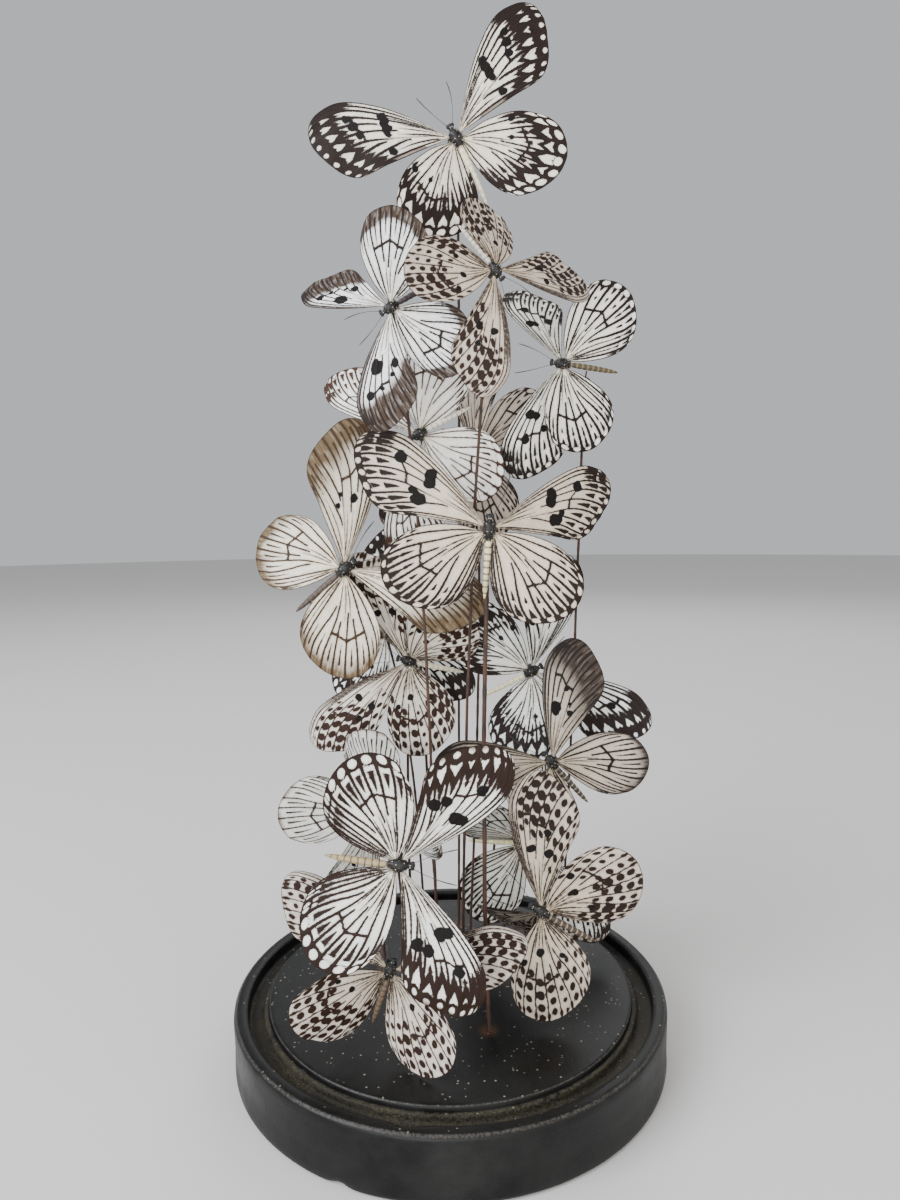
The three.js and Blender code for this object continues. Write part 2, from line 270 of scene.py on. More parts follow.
base_points, base_faces = turned_base()
base_r = np.hypot(base_points[:, 0], base_points[:, 1])
base_z = base_points[:, 2]
# How pale each edge is: partly rubbed wear, partly a painted highlight along the rim.
edge_wear_and_highlight = np.zeros(len(base_points))
for r, z, reach in RUBBED_AND_LIT_EDGES:
    edge_wear_and_highlight = np.maximum(edge_wear_and_highlight, np.exp(-((base_r - r) ** 2 + (base_z - z) ** 2) / reach**2))
groove_dust = ((base_r > 93) & (base_r < 102.6) & (base_z > 20) & (base_z < 27.6)).astype(float)
facing = np.arctan2(base_points[:, 1], base_points[:, 0])
drift = ripple(base_points, 14, 9)
groove_dust *= np.clip(0.22 + 0.62 * np.clip(0.35 - 0.9 * np.sin(facing), 0, 1) + 0.3 * drift, 0, 1)


def ebonised_wood():
    """Black-stained, waxed wood: nearly black with faint straight grain and patches of painted grey-green
    sheen, grey-brown where edges have rubbed and where a highlight is painted along them, olive dust in the
    groove, pale specks on the top and rust washed out round the rod feet."""
    material, tree, shader = new_material("ebonised_wood")
    place = add(tree, "TexCoord", out="Object")
    grain_way = add(tree, "Mapping", {"Vector": place, "Scale": (1.0, 0.06, 1.0)})
    grain = add(tree, "TexNoise", {"Vector": grain_way, "Scale": 900.0, "Detail": 4.0})
    patches = add(tree, "TexNoise", {"Vector": place, "Scale": 30.0, "Detail": 6.0, "Roughness": 0.65})
    grit = add(tree, "TexNoise", {"Vector": place, "Scale": 1100.0, "Detail": 3.0, "Roughness": 0.7})
    stain = add(tree, "MixRGB", {"Fac": grain, "Color1": linear("#050506"), "Color2": linear("#100f0e")})
    # Painted sheen: slow patches of grey-green over the black stand in for the wax's soft reflections.
    painted_sheen = add(tree, "MapRange", {"Value": patches, "From Min": 0.42, "From Max": 0.75, "To Max": 0.16})
    stain = add(tree, "MixRGB", {"Fac": painted_sheen, "Color1": stain, "Color2": linear("#4a4c49")})

    # Grey-brown on the edges: rubbed wear, and also a painted highlight that runs along the rim.
    worn_and_lit = add(tree, "Attribute", out="Fac", attribute_name="wear")
    rubbed_and_lit = add(tree, "Math", {0: worn_and_lit, 1: grit}, operation="MULTIPLY")
    rubbed_and_lit = add(tree, "MapRange", {"Value": rubbed_and_lit, "From Min": 0.3, "From Max": 0.62, "To Max": 0.6})
    stain = add(tree, "MixRGB", {"Fac": rubbed_and_lit, "Color1": stain, "Color2": linear("#5e5a54")})

    rust = add(tree, "Attribute", out="Fac", attribute_name="rust")
    rust_edge = add(tree, "Math", {0: rust, 1: patches}, operation="MULTIPLY")
    rust_edge = add(tree, "MapRange", {"Value": rust_edge, "From Min": 0.1, "From Max": 0.5, "To Max": 0.7})
    stain = add(tree, "MixRGB", {"Fac": rust_edge, "Color1": stain, "Color2": linear("#5b3c28")})

    # Grains of dust about 0.6 mm across: crumbs of a cell pattern, kept only where a slow noise is high.
    cells = add(tree, "TexVoronoi", {"Vector": place, "Scale": 620.0}, out="Distance")
    crumbs = add(tree, "MapRange", {"Value": cells, "From Min": 0.34, "From Max": 0.2})
    chosen = add(tree, "TexVoronoi", {"Vector": place, "Scale": 620.0}, out="Color")
    chosen = add(tree, "Math", {0: chosen, 1: 0.8}, operation="GREATER_THAN")
    crumbs = add(tree, "Math", {0: crumbs, 1: chosen}, operation="MULTIPLY")
    thick = add(tree, "MapRange", {"Value": patches, "From Min": 0.3, "From Max": 0.6})
    crumbs = add(tree, "Math", {0: crumbs, 1: thick}, operation="MULTIPLY")
    upward = add(tree, "NewGeometry", out="Normal")
    upward = add(tree, "SeparateXYZ", {0: upward}, out="Z")
    upward = add(tree, "Math", {0: upward, 1: 0.8}, operation="GREATER_THAN")
    crumbs = add(tree, "Math", {0: crumbs, 1: upward}, operation="MULTIPLY")
    stain = add(tree, "MixRGB", {"Fac": crumbs, "Color1": stain, "Color2": linear("#8f8a7a")})
    dust = add(tree, "Attribute", out="Fac", attribute_name="dust")
    dust_grit = add(tree, "MapRange", {"Value": grit, "From Min": 0.4, "From Max": 0.6, "To Min": 0.1})
    dust = add(tree, "Math", {0: dust, 1: dust_grit}, operation="MULTIPLY")
    colour = add(tree, "MixRGB", {"Fac": dust, "Color1": stain, "Color2": linear("#4a4638")})
    tree.links.new(colour, shader.inputs["Base Color"])

    satin = add(tree, "MapRange", {
        "Value": patches, "From Min": 0.3, "From Max": 0.7, "To Min": 0.3, "To Max": 0.52,
    })
    rough = add(tree, "Math", {0: satin, 1: dust}, operation="ADD", use_clamp=True)
    tree.links.new(rough, shader.inputs["Roughness"])
    relief = add(tree, "Math", {0: grit, 1: grain}, operation="ADD")
    bump = add(tree, "Bump", {"Height": relief, "Strength": 0.25, "Distance": 0.0004})
    tree.links.new(bump, shader.inputs["Normal"])
    shader.inputs["Specular IOR Level"].default_value = 0.22
    return material


# --- Rods and beads -----------------------------------------------------------------------------
# Thin iron rods, rusted brown, pushed into holes drilled in the base and bent by hand. A black bead
# is threaded on near the tip, and a short pin goes on into the insect's thorax.
ROD_RADIUS = 0.72
THICK_ROD_RADIUS = 1.05
PIN_RADIUS = 0.4
THORAX_RADIUS = 3.1
HEAD_FRONT = 8.5
ABDOMEN_START = 4
MODEL_FOREWING = 71
ABDOMEN_LENGTH = 28
ABDOMEN_DROOP = 15          # degrees that its tip falls away from the back
BEAD_DROP = 8               # from the thorax centre to the bead behind it, for a forewing of MODEL_FOREWING
BEAD_RADIUS = 3
ROD_SIDES = 9
PIN_SIDES = 7
SWAY = 0.35                 # how far a rod strays from its smooth curve at the middle
SWAY_LENGTH = 60            # the length of its bends
UNEVEN = 0.13               # how much its thickness varies, as a share of its radius

# Every back faces the front (-Y). at: thorax centre. heading: the head's way, clockwise from up as seen
# from the front. forewing: its length. wings: fore left, fore right, hind left, hind right, each sweep
# forward and lift in degrees. rod: foot, the point it leans by, and, where they differ from the usual,
# tip and bead radius.
SPECIMENS = [
    {"name": "top", "at": [8, -15, 442], "heading": -27, "forewing": 67,
     "wings": [[-5, 5], [-5, 5], [-15, 25], [-10, 5]],
     "rod": {"foot": [5, 60], "lean": [10, 70, 370]}},
    {"name": "upper_left", "at": [-21, -45, 361], "heading": -120, "forewing": 54,
     "wings": [[0, 20], [-5, -35], [5, 10], [-5, 10]],
     "rod": {"foot": [-6, -30], "lean": [-7, -32, 270]}},
    {"name": "upper_middle", "at": [22, -60, 372], "heading": 142, "forewing": 52,
     "wings": [[-5, -35], [10, 15], [-20, -45], [0, 30]],
     "rod": {"foot": [6, -13], "lean": [11, -14, 280]}},
    {"name": "upper_right", "at": [62, 20, 348], "heading": -82, "forewing": 64,
     "wings": [[-20, 20], [-10, -35], [10, 25], [-5, 5]],
     "rod": {"foot": [64, 42], "lean": [72, 45, 200], "tip": [73, 25, 339], "bead": 3.5}},
    {"name": "behind_left", "at": [-11, 0, 312], "heading": -118, "forewing": 62,
     "wings": [[0, 10], [-10, -20], [0, 5], [-15, 15]],
     "rod": {"foot": [-5, 25], "lean": [-20, 40, 230]}},
    {"name": "behind_right", "at": [18, 25, 303], "heading": -70, "forewing": 60,
     "wings": [[0, 10], [-10, 20], [0, 10], [-5, 5]],
     "rod": {"foot": [10, 20], "lean": [20, 40, 180]}},
    {"name": "middle_left", "at": [-49, -15, 246], "heading": 50, "forewing": 70,
     "wings": [[10, 20], [0, 10], [0, -25], [-15, 0]],
     "rod": {"foot": [-40, 30], "lean": [-53, 38, 150]}},
    {"name": "centre", "at": [20, -40, 264], "heading": 4, "forewing": 69,
     "wings": [[-5, 10], [-15, -20], [-5, 10], [-15, 5]],
     "rod": {"foot": [18, -43], "lean": [15, -35, 140], "thick": True}},
    {"name": "lower_right", "at": [53, -5, 147], "heading": -40, "forewing": 64,
     "wings": [[5, 40], [5, 15], [-10, 25], [0, 35]],
     "rod": {"foot": [55, 5], "lean": [57, 8, 90]}},
    {"name": "back_right", "at": [44, 20, 189], "heading": 62, "forewing": 66,
     "wings": [[5, 30], [0, 35], [5, 10], [-5, 35]],
     "rod": {"foot": [22, 48], "lean": [25, 52, 110]}},
    {"name": "inner_left", "at": [-19, 18, 196], "heading": -76, "forewing": 65,
     "wings": [[0, 15], [0, 30], [5, 20], [0, 45]],
     "rod": {"foot": [-20, 28], "lean": [-25, 33, 130]}},
    {"name": "back_left", "at": [-35, 50, 206], "heading": 70, "forewing": 60,
     "wings": [[-10, 5], [0, 35], [-15, 5], [-15, 50]],
     "rod": {"foot": [-15, 60], "lean": [-20, 70, 150]}},
    {"name": "front", "at": [-22, -74, 125], "heading": 95, "forewing": 69,
     "wings": [[0, 20], [-5, 15], [5, 15], [-10, 20]],
     "rod": {"foot": [-18, -45], "lean": [-20, -45, 90]}},
    {"name": "back_low", "at": [-40, 10, 122], "heading": 150, "forewing": 66,
     "wings": [[-20, 70], [10, 35], [-20, 45], [5, 5]],
     "rod": {"foot": [-35, 12], "lean": [-38, 20, 90]}},
    {"name": "front_low", "at": [-27, -58, 68], "heading": 18, "forewing": 62,
     "wings": [[-10, 5], [-5, 10], [-10, 30], [-5, 40]],
     "rod": {"foot": [-22, -45], "lean": [-24, -44, 50]}},
    {"name": "right_low", "at": [44, -40, 86], "heading": -57, "forewing": 68,
     "wings": [[-35, -50], [0, 10], [-10, 10], [5, 20]],
     "rod": {"foot": [45, -10], "lean": [45, -20, 60]}},
    {"name": "back_right_low", "at": [40, 30, 92], "heading": 90, "forewing": 66,
     "wings": [[-30, -45], [5, 20], [-10, 50], [-5, 10]],
     "rod": {"foot": [30, 42], "lean": [35, 45, 70]}},
]


def turning(axis, degrees):
    """The 3 x 3 matrix of a turn about X, Y or Z."""
    return np.array(Matrix.Rotation(math.radians(degrees), 3, axis))


def placement(specimen):
    """The scaled turn from a specimen's axes (x right, y head, z back) to the display's, by its heading and
    then upright to face the front, and the place of its thorax."""
    turned = turning("X", 90) @ turning("Z", -specimen["heading"])
    return turned * specimen["forewing"] / MODEL_FOREWING, np.array(specimen["at"], float)


def abdomen_line(count):
    """Points of an arc from the waist that falls more and more along its length."""
    share = np.arange(count - 1) / (count - 1)
    fall = math.radians(ABDOMEN_DROOP) * (0.3 + 0.7 * share)
    steps = np.column_stack([np.zeros(count - 1), -np.cos(fall), -np.sin(fall)])
    steps = steps * ABDOMEN_LENGTH / (count - 1)
    return np.vstack([(0, -ABDOMEN_START, 0), (0, -ABDOMEN_START, 0) + np.cumsum(steps, 0)])


def tube(path, radii, sides):
    """A closed tube: a circle of the given radius set square to the path at each point, with a point at each
    end. The frame is carried along the path by removing its part along each new direction."""
    path = np.asarray(path, float)
    along = np.gradient(path, axis=0)
    along /= np.linalg.norm(along, axis=1, keepdims=True)
    side = np.zeros_like(along)
    start = np.cross(along[0], (0.31, 0.87, 0.38))
    for i, way in enumerate(along):
        start = start - way * (start @ way)
        start = start / np.linalg.norm(start)
        side[i] = start
    up = np.cross(along, side)
    turn = np.linspace(0, 2 * np.pi, sides, endpoint=False)
    ring = side[:, None] * np.cos(turn)[:, None] + up[:, None] * np.sin(turn)[:, None]
    radii = np.broadcast_to(radii, len(path)).astype(float)
    points = (path[:, None] + ring * radii[:, None, None]).reshape(-1, 3)
    rows = len(path)
    tips = np.vstack([path[0] - along[0] * radii[0] * 0.4, path[-1] + along[-1] * radii[-1] * 0.4])
    first = np.arange(sides)
    after = (first + 1) % sides
    last = (rows - 1) * sides
    start_cap = np.column_stack([np.full(sides, rows * sides), after, first])
    end_cap = np.column_stack([np.full(sides, rows * sides + 1), last + first, last + after])
    return np.vstack([points, tips]), [grid_faces(rows, sides, wrap=True), start_cap, end_cap]


def as_part(shape, **more):
    """Points and faces as a part of make_piece."""
    return {"points": shape[0], "faces": shape[1], **more}


def ball(centre, radius, axis, rows=20):
    """A sphere as a tube whose radius follows a half circle along the axis."""
    angle = np.linspace(0.02, np.pi - 0.02, rows)
    path = np.asarray(centre, float) - np.outer(np.cos(angle), np.asarray(axis, float)) * radius
    return tube(path, radius * np.sin(angle), rows * 2)


def rusty_iron():
    """Iron wire left to rust: orange to dark brown in patches about 3 mm long, dull, and pitted."""
    material, tree, shader = new_material("rusty_iron")
    place = add(tree, "TexCoord", out="Object")
    long_way = add(tree, "Mapping", {"Vector": place, "Scale": (1.0, 1.0, 0.35)})
    patches = add(tree, "TexNoise", {"Vector": long_way, "Scale": 330.0, "Detail": 5.0, "Roughness": 0.7})
    pits = add(tree, "TexNoise", {"Vector": place, "Scale": 1800.0, "Detail": 3.0})
    ramp = add(tree, "MapRange", {"Value": patches, "From Min": 0.35, "From Max": 0.65})
    colour = add(tree, "MixRGB", {"Fac": ramp, "Color1": linear("#1b120d"), "Color2": linear("#4c2f20")})
    tree.links.new(colour, shader.inputs["Base Color"])
    bump = add(tree, "Bump", {"Height": pits, "Strength": 0.5, "Distance": 0.0002})
    tree.links.new(bump, shader.inputs["Normal"])
    shader.inputs["Roughness"].default_value = 0.7
    return material


def matt_black_glass():
    """A matt black bead: charcoal with a blue cast, faintly dusty, with a soft wide highlight."""
    material, tree, shader = new_material("matt_black_glass")
    place = add(tree, "TexCoord", out="Object")
    film = add(tree, "TexNoise", {"Vector": place, "Scale": 500.0, "Detail": 4.0})
    colour = add(tree, "MixRGB", {"Fac": film, "Color1": linear("#0c0e11"), "Color2": linear("#1c1f23")})
    tree.links.new(colour, shader.inputs["Base Color"])
    shader.inputs["Roughness"].default_value = 0.42
    return material


def rod_and_bead(specimen, materials):
    """The rod follows a quadratic Bezier from foot to tip, with small bends and an uneven thickness."""
    rod = specimen["rod"]
    foot = np.array([*rod["foot"], BASE_TOP - 1.0])
    x, y, z = specimen["at"]
    drop = BEAD_DROP * specimen["forewing"] / MODEL_FOREWING
    lean, tip = np.array(rod["lean"], float), np.array(rod.get("tip", [x, y + drop, z]), float)
    length = np.linalg.norm(tip - foot)
    share = np.linspace(0, 1, max(16, int(length / 2.5)))[:, None]
    path = foot * (1 - share) ** 2 + lean * 2 * share * (1 - share) + tip * share**2
    seed = int(abs(tip).sum())
    bends = [ripple(path, SWAY_LENGTH, seed), ripple(path, SWAY_LENGTH, seed + 1), np.zeros(len(path))]
    path = path + np.column_stack(bends) * SWAY * np.sin(np.pi * share)
    thick = THICK_ROD_RADIUS if rod.get("thick") else ROD_RADIUS
    radii = thick * (1 + UNEVEN * ripple(path, 4, seed + 2))
    parts = [as_part(tube(path, radii, ROD_SIDES))]

    turned, at = placement(specimen)
    spine = np.vstack([[(0, HEAD_FRONT - 3.4, 0), (0, 0, 0)], abdomen_line(7)])
    spine = spine @ turned.T + at
    target = spine[np.argmin(np.linalg.norm(spine - tip, axis=1))]
    way = (target - tip) / np.linalg.norm(target - tip)
    reach = np.linalg.norm(target - tip) - THORAX_RADIUS * 0.7 * specimen["forewing"] / MODEL_FOREWING
    pin = tip + way * np.linspace(0, reach, 8)[:, None]
    parts.append(as_part(tube(pin, PIN_RADIUS, PIN_SIDES)))
    rise = path[-1] - path[-4]
    rise /= np.linalg.norm(rise)
    parts.append(as_part(ball(tip, rod.get("bead", BEAD_RADIUS), rise), material=1))
    piece = make_piece(f"iron_rod_{specimen['name']}", parts, materials)
    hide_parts(f"rod_{specimen['name']}")
    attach(piece, "root")


rod_materials = [rusty_iron(), matt_black_glass()]
for specimen in SPECIMENS:
    rod_and_bead(specimen, rod_materials)

feet = np.array([specimen["rod"]["foot"] for specimen in SPECIMENS], float)
to_foot = np.linalg.norm(base_points[:, None, :2] - feet[None], axis=2).min(1)
rust_wash = np.exp(-((to_foot / 4.5) ** 2)) * (base_z > 29)
base_values = {"wear": edge_wear_and_highlight, "dust": groove_dust, "rust": rust_wash}
base_part = as_part((base_points, base_faces), values=base_values)
turned_wood = make_piece("turned_base", [base_part], [ebonised_wood()])
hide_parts("base")
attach(turned_wood, "root")


# --- Wings --------------------------------------------------------------------------------------
# Two papery membranes pressed together and stiffened by veins, white or cream with dark markings.
# They are spread and dried, so each has its own sweep and lift, and slightly buckled edges.
# Outlines are (outward, forward) from the thorax centre. Each vein is the share of the wing's length
# where it starts, and how far across it lies (0 leading edge, 1 trailing edge) at each station.
STATIONS = (0, 0.15, 0.3, 0.45, 0.6, 0.8, 1)
FOREWING = {
    "root": (1.5, 2),
    "leading": [(1.5, 2), (12, 18), (24, 33), (38, 45), (50, 47.5), (58, 45)],
    "margin": [(58, 45), (61.5, 38), (60, 28), (55.5, 17), (48, 10.5)],
    "trailing": [(1.5, 2), (18, 5), (34, 8), (48, 10.5)],
    "rows": 76,
    "veins": [
        (0, (0, 0, 0, 0, 0, 0, 0)),
        (0, (0.05, 0.07, 0.08, 0.07, 0.06, 0.05, 0.04)),
        (0, (0.12, 0.13, 0.15, 0.14, 0.12, 0.10, 0.09)),
        (0, (0.20, 0.22, 0.24, 0.25, 0.22, 0.18, 0.17)),
        (0.44, (0.30, 0.32, 0.33, 0.34, 0.33, 0.30, 0.29)),
        (0.34, (0.42, 0.43, 0.44, 0.45, 0.45, 0.43, 0.42)),
        (0, (0.58, 0.60, 0.60, 0.60, 0.57, 0.55, 0.55)),
        (0.47, (0.590, 0.608, 0.608, 0.615, 0.67, 0.69, 0.69)),
        (0.30, (0.60, 0.616, 0.622, 0.72, 0.78, 0.82, 0.83)),
        (0, (0.82, 0.85, 0.88, 0.90, 0.92, 0.94, 0.95)),
        (0, (1, 1, 1, 1, 1, 1, 1)),
    ],
    "cell_end": {3: 0.57, 4: 0.60, 5: 0.575, 6: 0.60},
}
HINDWING = {
    "root": (1.5, 0),
    "leading": [(1.5, 0), (16, 4), (32, 3.5), (44, -2.5)],
    "margin": [(44, -2.5), (50.5, -11), (50, -22), (43, -30.5), (31, -35), (19, -33.5)],
    "trailing": [(1.5, 0), (4, -12), (10, -25.5), (19, -33.5)],
    "rows": 60,
    "veins": [
        (0, (0, 0, 0, 0, 0, 0, 0)),
        (0, (0.10, 0.12, 0.14, 0.13, 0.11, 0.09, 0.08)),
        (0, (0.25, 0.27, 0.28, 0.27, 0.24, 0.21, 0.20)),
        (0.46, (0.34, 0.35, 0.36, 0.37, 0.35, 0.33, 0.32)),
        (0.40, (0.42, 0.43, 0.43, 0.44, 0.45, 0.45, 0.44)),
        (0.50, (0.52, 0.52, 0.52, 0.53, 0.55, 0.56, 0.56)),
        (0, (0.60, 0.60, 0.59, 0.59, 0.62, 0.66, 0.67)),
        (0.36, (0.61, 0.612, 0.61, 0.66, 0.72, 0.77, 0.78)),
        (0, (0.75, 0.77, 0.79, 0.81, 0.83, 0.86, 0.88)),
        (0, (0.87, 0.89, 0.91, 0.92, 0.93, 0.95, 0.96)),
        (0, (1, 1, 1, 1, 1, 1, 1)),
    ],
    "cell_end": {2: 0.60, 3: 0.62, 4: 0.66, 5: 0.62, 6: 0.62},
}
FIRST_ROW = 0.03            # the membrane starts this share of the way out from the thorax
STEPS_PER_CELL = 6
SCALLOP = 0.0015            # how far the margin dips between veins, as a share of the wing's length
MEMBRANE = 0.2
VEIN_HEIGHT = 0.14
PLEAT = 0.28
WING_CURL = -15             # how far a wing turns down, in degrees over CURL_LENGTH of it
CURL_LENGTH = 60
WITHIN_SOLID = 0.99         # the fine wing's size, so that its round edge stays inside the faceted solid's


def spline(points, share, comes_from=None, goes_to=None):
    """A uniform Catmull-Rom curve through the points at shares 0 to 1. It leaves its ends towards the points
    before and after it, so that two curves meet without a corner; without them its end points are doubled."""
    ahead = points[0] if comes_from is None else comes_from
    behind = points[-1] if goes_to is None else goes_to
    spans = len(points) - 1
    points = np.array([ahead, *points, behind], float)
    along = np.clip(share, 0, 1) * spans
    i = np.minimum(along.astype(int), spans - 1)
    w = (along - i)[..., None]
    before, here, after, beyond = points[i], points[i + 1], points[i + 2], points[i + 3]
    into, out = (after - before) / 2, (beyond - here) / 2
    cubic = 2 * here - 2 * after + into + out
    square = 3 * after - 3 * here - 2 * into - out
    return cubic * w**3 + square * w**2 + into * w + here


def wing_plane(wing, across, outward):
    """The wing filled from its three edges: a straight blend of the leading and trailing edges, pushed out
    in step with the margin."""
    leading, margin, trailing = wing["leading"], wing["margin"], wing["trailing"]
    lead = spline(leading, outward, goes_to=margin[1])
    trail = spline(trailing, outward, goes_to=margin[-2])
    rim = spline(margin, across, leading[-2], trailing[-2])
    corners = np.array([margin[0], margin[-1]], float)
    across, outward = across[..., None], outward[..., None]
    bulge = rim - (corners[0] * (1 - across) + corners[1] * across)
    return lead * (1 - across) + trail * across + bulge * outward


def vein_lines(wing, outward):
    """How far across each vein lies at each share outward: stations joined by straight lines, then eased
    by averaging over a short stretch."""
    ease = np.linspace(-0.05, 0.05, 5)
    return np.array([
        np.mean([np.interp(outward + shift, STATIONS, line) for shift in ease], axis=0)
        for _, line in wing["veins"]
    ])


def wing_sheet(wing):
    """A grid with its columns along the veins. For each point: its flat place, which cell between veins it is
    in, its share across that cell, the cell's width, the way left to the margin, and its share outward."""
    cells = len(wing["veins"]) - 1
    place = np.arange(cells * STEPS_PER_CELL + 1) / STEPS_PER_CELL
    cell = np.minimum(place.astype(int), cells - 1)
    share = place - cell
    row = np.linspace(0, 1, wing["rows"])
    outward = FIRST_ROW + (1 - FIRST_ROW) * row * (1.25 - 0.25 * row)
    lines = vein_lines(wing, outward)
    near, far = lines[cell].T, lines[cell + 1].T
    outward = np.repeat(outward[:, None], len(place), 1)
    dipped = outward * (1 - SCALLOP * 4 * share * (1 - share) * outward**6)
    flat = wing_plane(wing, near * (1 - share) + far * share, dipped)
    width = np.linalg.norm(wing_plane(wing, near, outward) - wing_plane(wing, far, outward), axis=-1)
    steps = np.linalg.norm(np.diff(flat, axis=0), axis=-1)
    to_margin = np.vstack([np.cumsum(steps[::-1], 0)[::-1], np.zeros(len(place))])
    return {
        "wing": wing, "flat": flat, "cell": cell, "share": share, "place": place, "width": width,
        "to_margin": to_margin, "outward": outward, "from_root": np.linalg.norm(flat - wing["root"], axis=-1),
    }


def bent_wing(sheet, side, pose, seed):
    """The flat sheet swept about its root, bent to an arc along the wing, and raised into vein ridges, pleats
    and soft buckles that grow towards the margin."""
    sweep, lift = pose
    root = np.array(sheet["wing"]["root"], float)
    turned = (sheet["flat"] - root) * WITHIN_SOLID @ turning("Z", sweep)[:2, :2].T
    start, bend = math.radians(lift), math.radians(WING_CURL) / CURL_LENGTH
    angle = start + bend * turned[..., 0]
    rise = (math.cos(start) - np.cos(angle)) / bend
    reach = (np.sin(angle) - math.sin(start)) / bend
    middle = np.stack([side * (reach + root[0]), turned[..., 1] + root[1], rise], -1)
    down_wing, across_wing = np.gradient(middle, axis=0), np.gradient(middle, axis=1)
    square = np.cross(down_wing, across_wing)
    square *= -side / np.maximum(np.linalg.norm(square, axis=-1, keepdims=True), 1e-9)
    share, cell, outward = sheet["share"], sheet["cell"], sheet["outward"]
    pleat = PLEAT * np.cos(np.pi * (cell + share)) * np.minimum(sheet["width"] / 5, 1)
    vein = VEIN_HEIGHT * np.exp(-((np.minimum(share, 1 - share) * sheet["width"] / 0.45) ** 2))
    buckle = ripple(sheet["flat"].reshape(-1, 2), 26, seed).reshape(outward.shape) * 0.9 * outward**2
    buckle += ripple(sheet["flat"].reshape(-1, 2), 9, seed + 1).reshape(outward.shape) * 0.3 * outward**3
    height = (pleat * outward * (1 - 0.75 * outward**3) + vein + buckle)[..., None]
    top = middle + square * (height + MEMBRANE / 2)
    under = middle + square * (height - MEMBRANE / 2)
    return top, under


def closed_sheet(top, under, side):
    """Joins two grids of the same size into a closed skin: each row is one ring, over the top and back under,
    and the first and last rings are filled with strips."""
    rows, columns = top.shape[:2]
    ring = np.concatenate([top, under[:, ::-1]], axis=1)
    j = np.arange(columns - 1)
    strip = np.column_stack([j, 2 * columns - 1 - j, 2 * columns - 2 - j, j + 1])
    last_strip = strip[:, ::-1] + (rows - 1) * 2 * columns
    faces = np.vstack([grid_faces(rows, 2 * columns, wrap=True), strip, last_strip])
    return ring.reshape(-1, 3), [faces if side > 0 else faces[:, ::-1]]


def blob(x, y, half_x, half_y):
    """Roughly the distance in mm inside an ellipse, below zero outside it."""
    return (1 - np.hypot(x / half_x, y / half_y)) * np.minimum(half_x, half_y)


def wing_ink(sheet, marks, rng):
    """How far each point lies inside a dark mark, in mm, below zero where the wing is bare. A mark is made in
    cell co-ordinates: off, the way from the cell's middle line, and to_margin, the way left to the margin."""
    share, cell, width, s = sheet["share"], sheet["cell"], sheet["width"], sheet["to_margin"]
    outward, veins = sheet["outward"], sheet["wing"]["veins"]
    off = (share - 0.5) * width
    side_share = np.abs(2 * share - 1)
    loose = rng.normal(size=(3, len(veins)))[:, cell]
    thin, thick = marks["vein"]
    half = thin + (thick - thin) * np.clip(1 - s / marks.get("vein_taper", 22), 0, 1) ** 1.5
    half = np.minimum(half, 0.28 * width)
    starts = np.array([start for start, _ in veins])
    ink = np.maximum(
        np.where(outward >= starts[cell], half - share * width, -9),
        np.where(outward >= starts[cell + 1], half - (1 - share) * width, -9),
    )
    ends = sheet["wing"]["cell_end"]
    end_line = np.interp(sheet["place"], list(ends), list(ends.values()))
    in_cell = (sheet["place"] >= min(ends)) & (sheet["place"] <= max(ends))
    closing = max(thin * 1.5, 0.62) - np.abs(outward - end_line) * s[0]
    ink = np.maximum(ink, np.where(in_cell, closing, -9))
    ink = np.maximum(ink, marks.get("edge", 0.45) - s)
    if "vein_ends" in marks:
        middle, half_length, half_width = marks["vein_ends"]
        beside = np.minimum(share, 1 - share) * width
        bars = blob(beside, s - middle - 0.4 * loose[0], half_width, half_length)
        ink = np.maximum(ink, np.where(width > 3, bars, -9))
    if "band" in marks:
        apex, rear, tooth = marks["band"]
        depth = np.interp(sheet["place"], [0, 3, 9, 10], [apex, apex, rear, rear]) + tooth * (1 - side_share)
        band = depth + 0.5 * loose[0] - s
        for middle, half_length, half_share in marks.get("ovals", []):
            shift = 0.25 * loose[1]
            oval = blob(off, s - middle - shift, half_share * width, half_length)
            band = np.minimum(band, -oval - 0.05)
        ink = np.maximum(ink, band)
    for middle, tooth, half_thick in marks.get("zigzags", []):
        line = middle + 0.8 * loose[1] + tooth * (0.5 - side_share)
        slope = np.hypot(1, 2 * tooth / np.maximum(width, 1))
        ink = np.maximum(ink, half_thick + 0.2 * loose[2] - np.abs(s - line) / slope)
    for first, last, half_width in marks.get("drops", []):
        first, last = first + 0.6 * loose[0], last + 1.2 * loose[1]
        narrowing = half_width * np.clip((last - s) / (last - first), 0, 1) ** 0.6
        ink = np.maximum(ink, np.minimum(narrowing - np.abs(off), np.minimum(s - first, last - s)))
    for middle, half_length, half_share in marks.get("spots", []):
        size = 1 + 0.16 * loose[2]
        half_across = np.minimum(half_share * width, half_length * 0.9) * size
        row = middle + marks.get("stagger", 0) * (-1.0) ** cell
        spot = blob(off + 0.25 * loose[0], s - row - 0.5 * loose[1], half_across, half_length * size)
        ink = np.maximum(ink, np.where(width > 2.2, spot, -9))
    for cells, first, last, half_width in marks.get("streaks", []):
        inside = np.isin(cell, cells)
        r = sheet["from_root"]
        line = np.minimum(half_width, 0.2 * width) * np.clip((last - r) / 8, 0.05, 1) - np.abs(off)
        ink = np.maximum(ink, np.where(inside, np.minimum(line, np.minimum(r - first, last - r)), -9))
    return ink


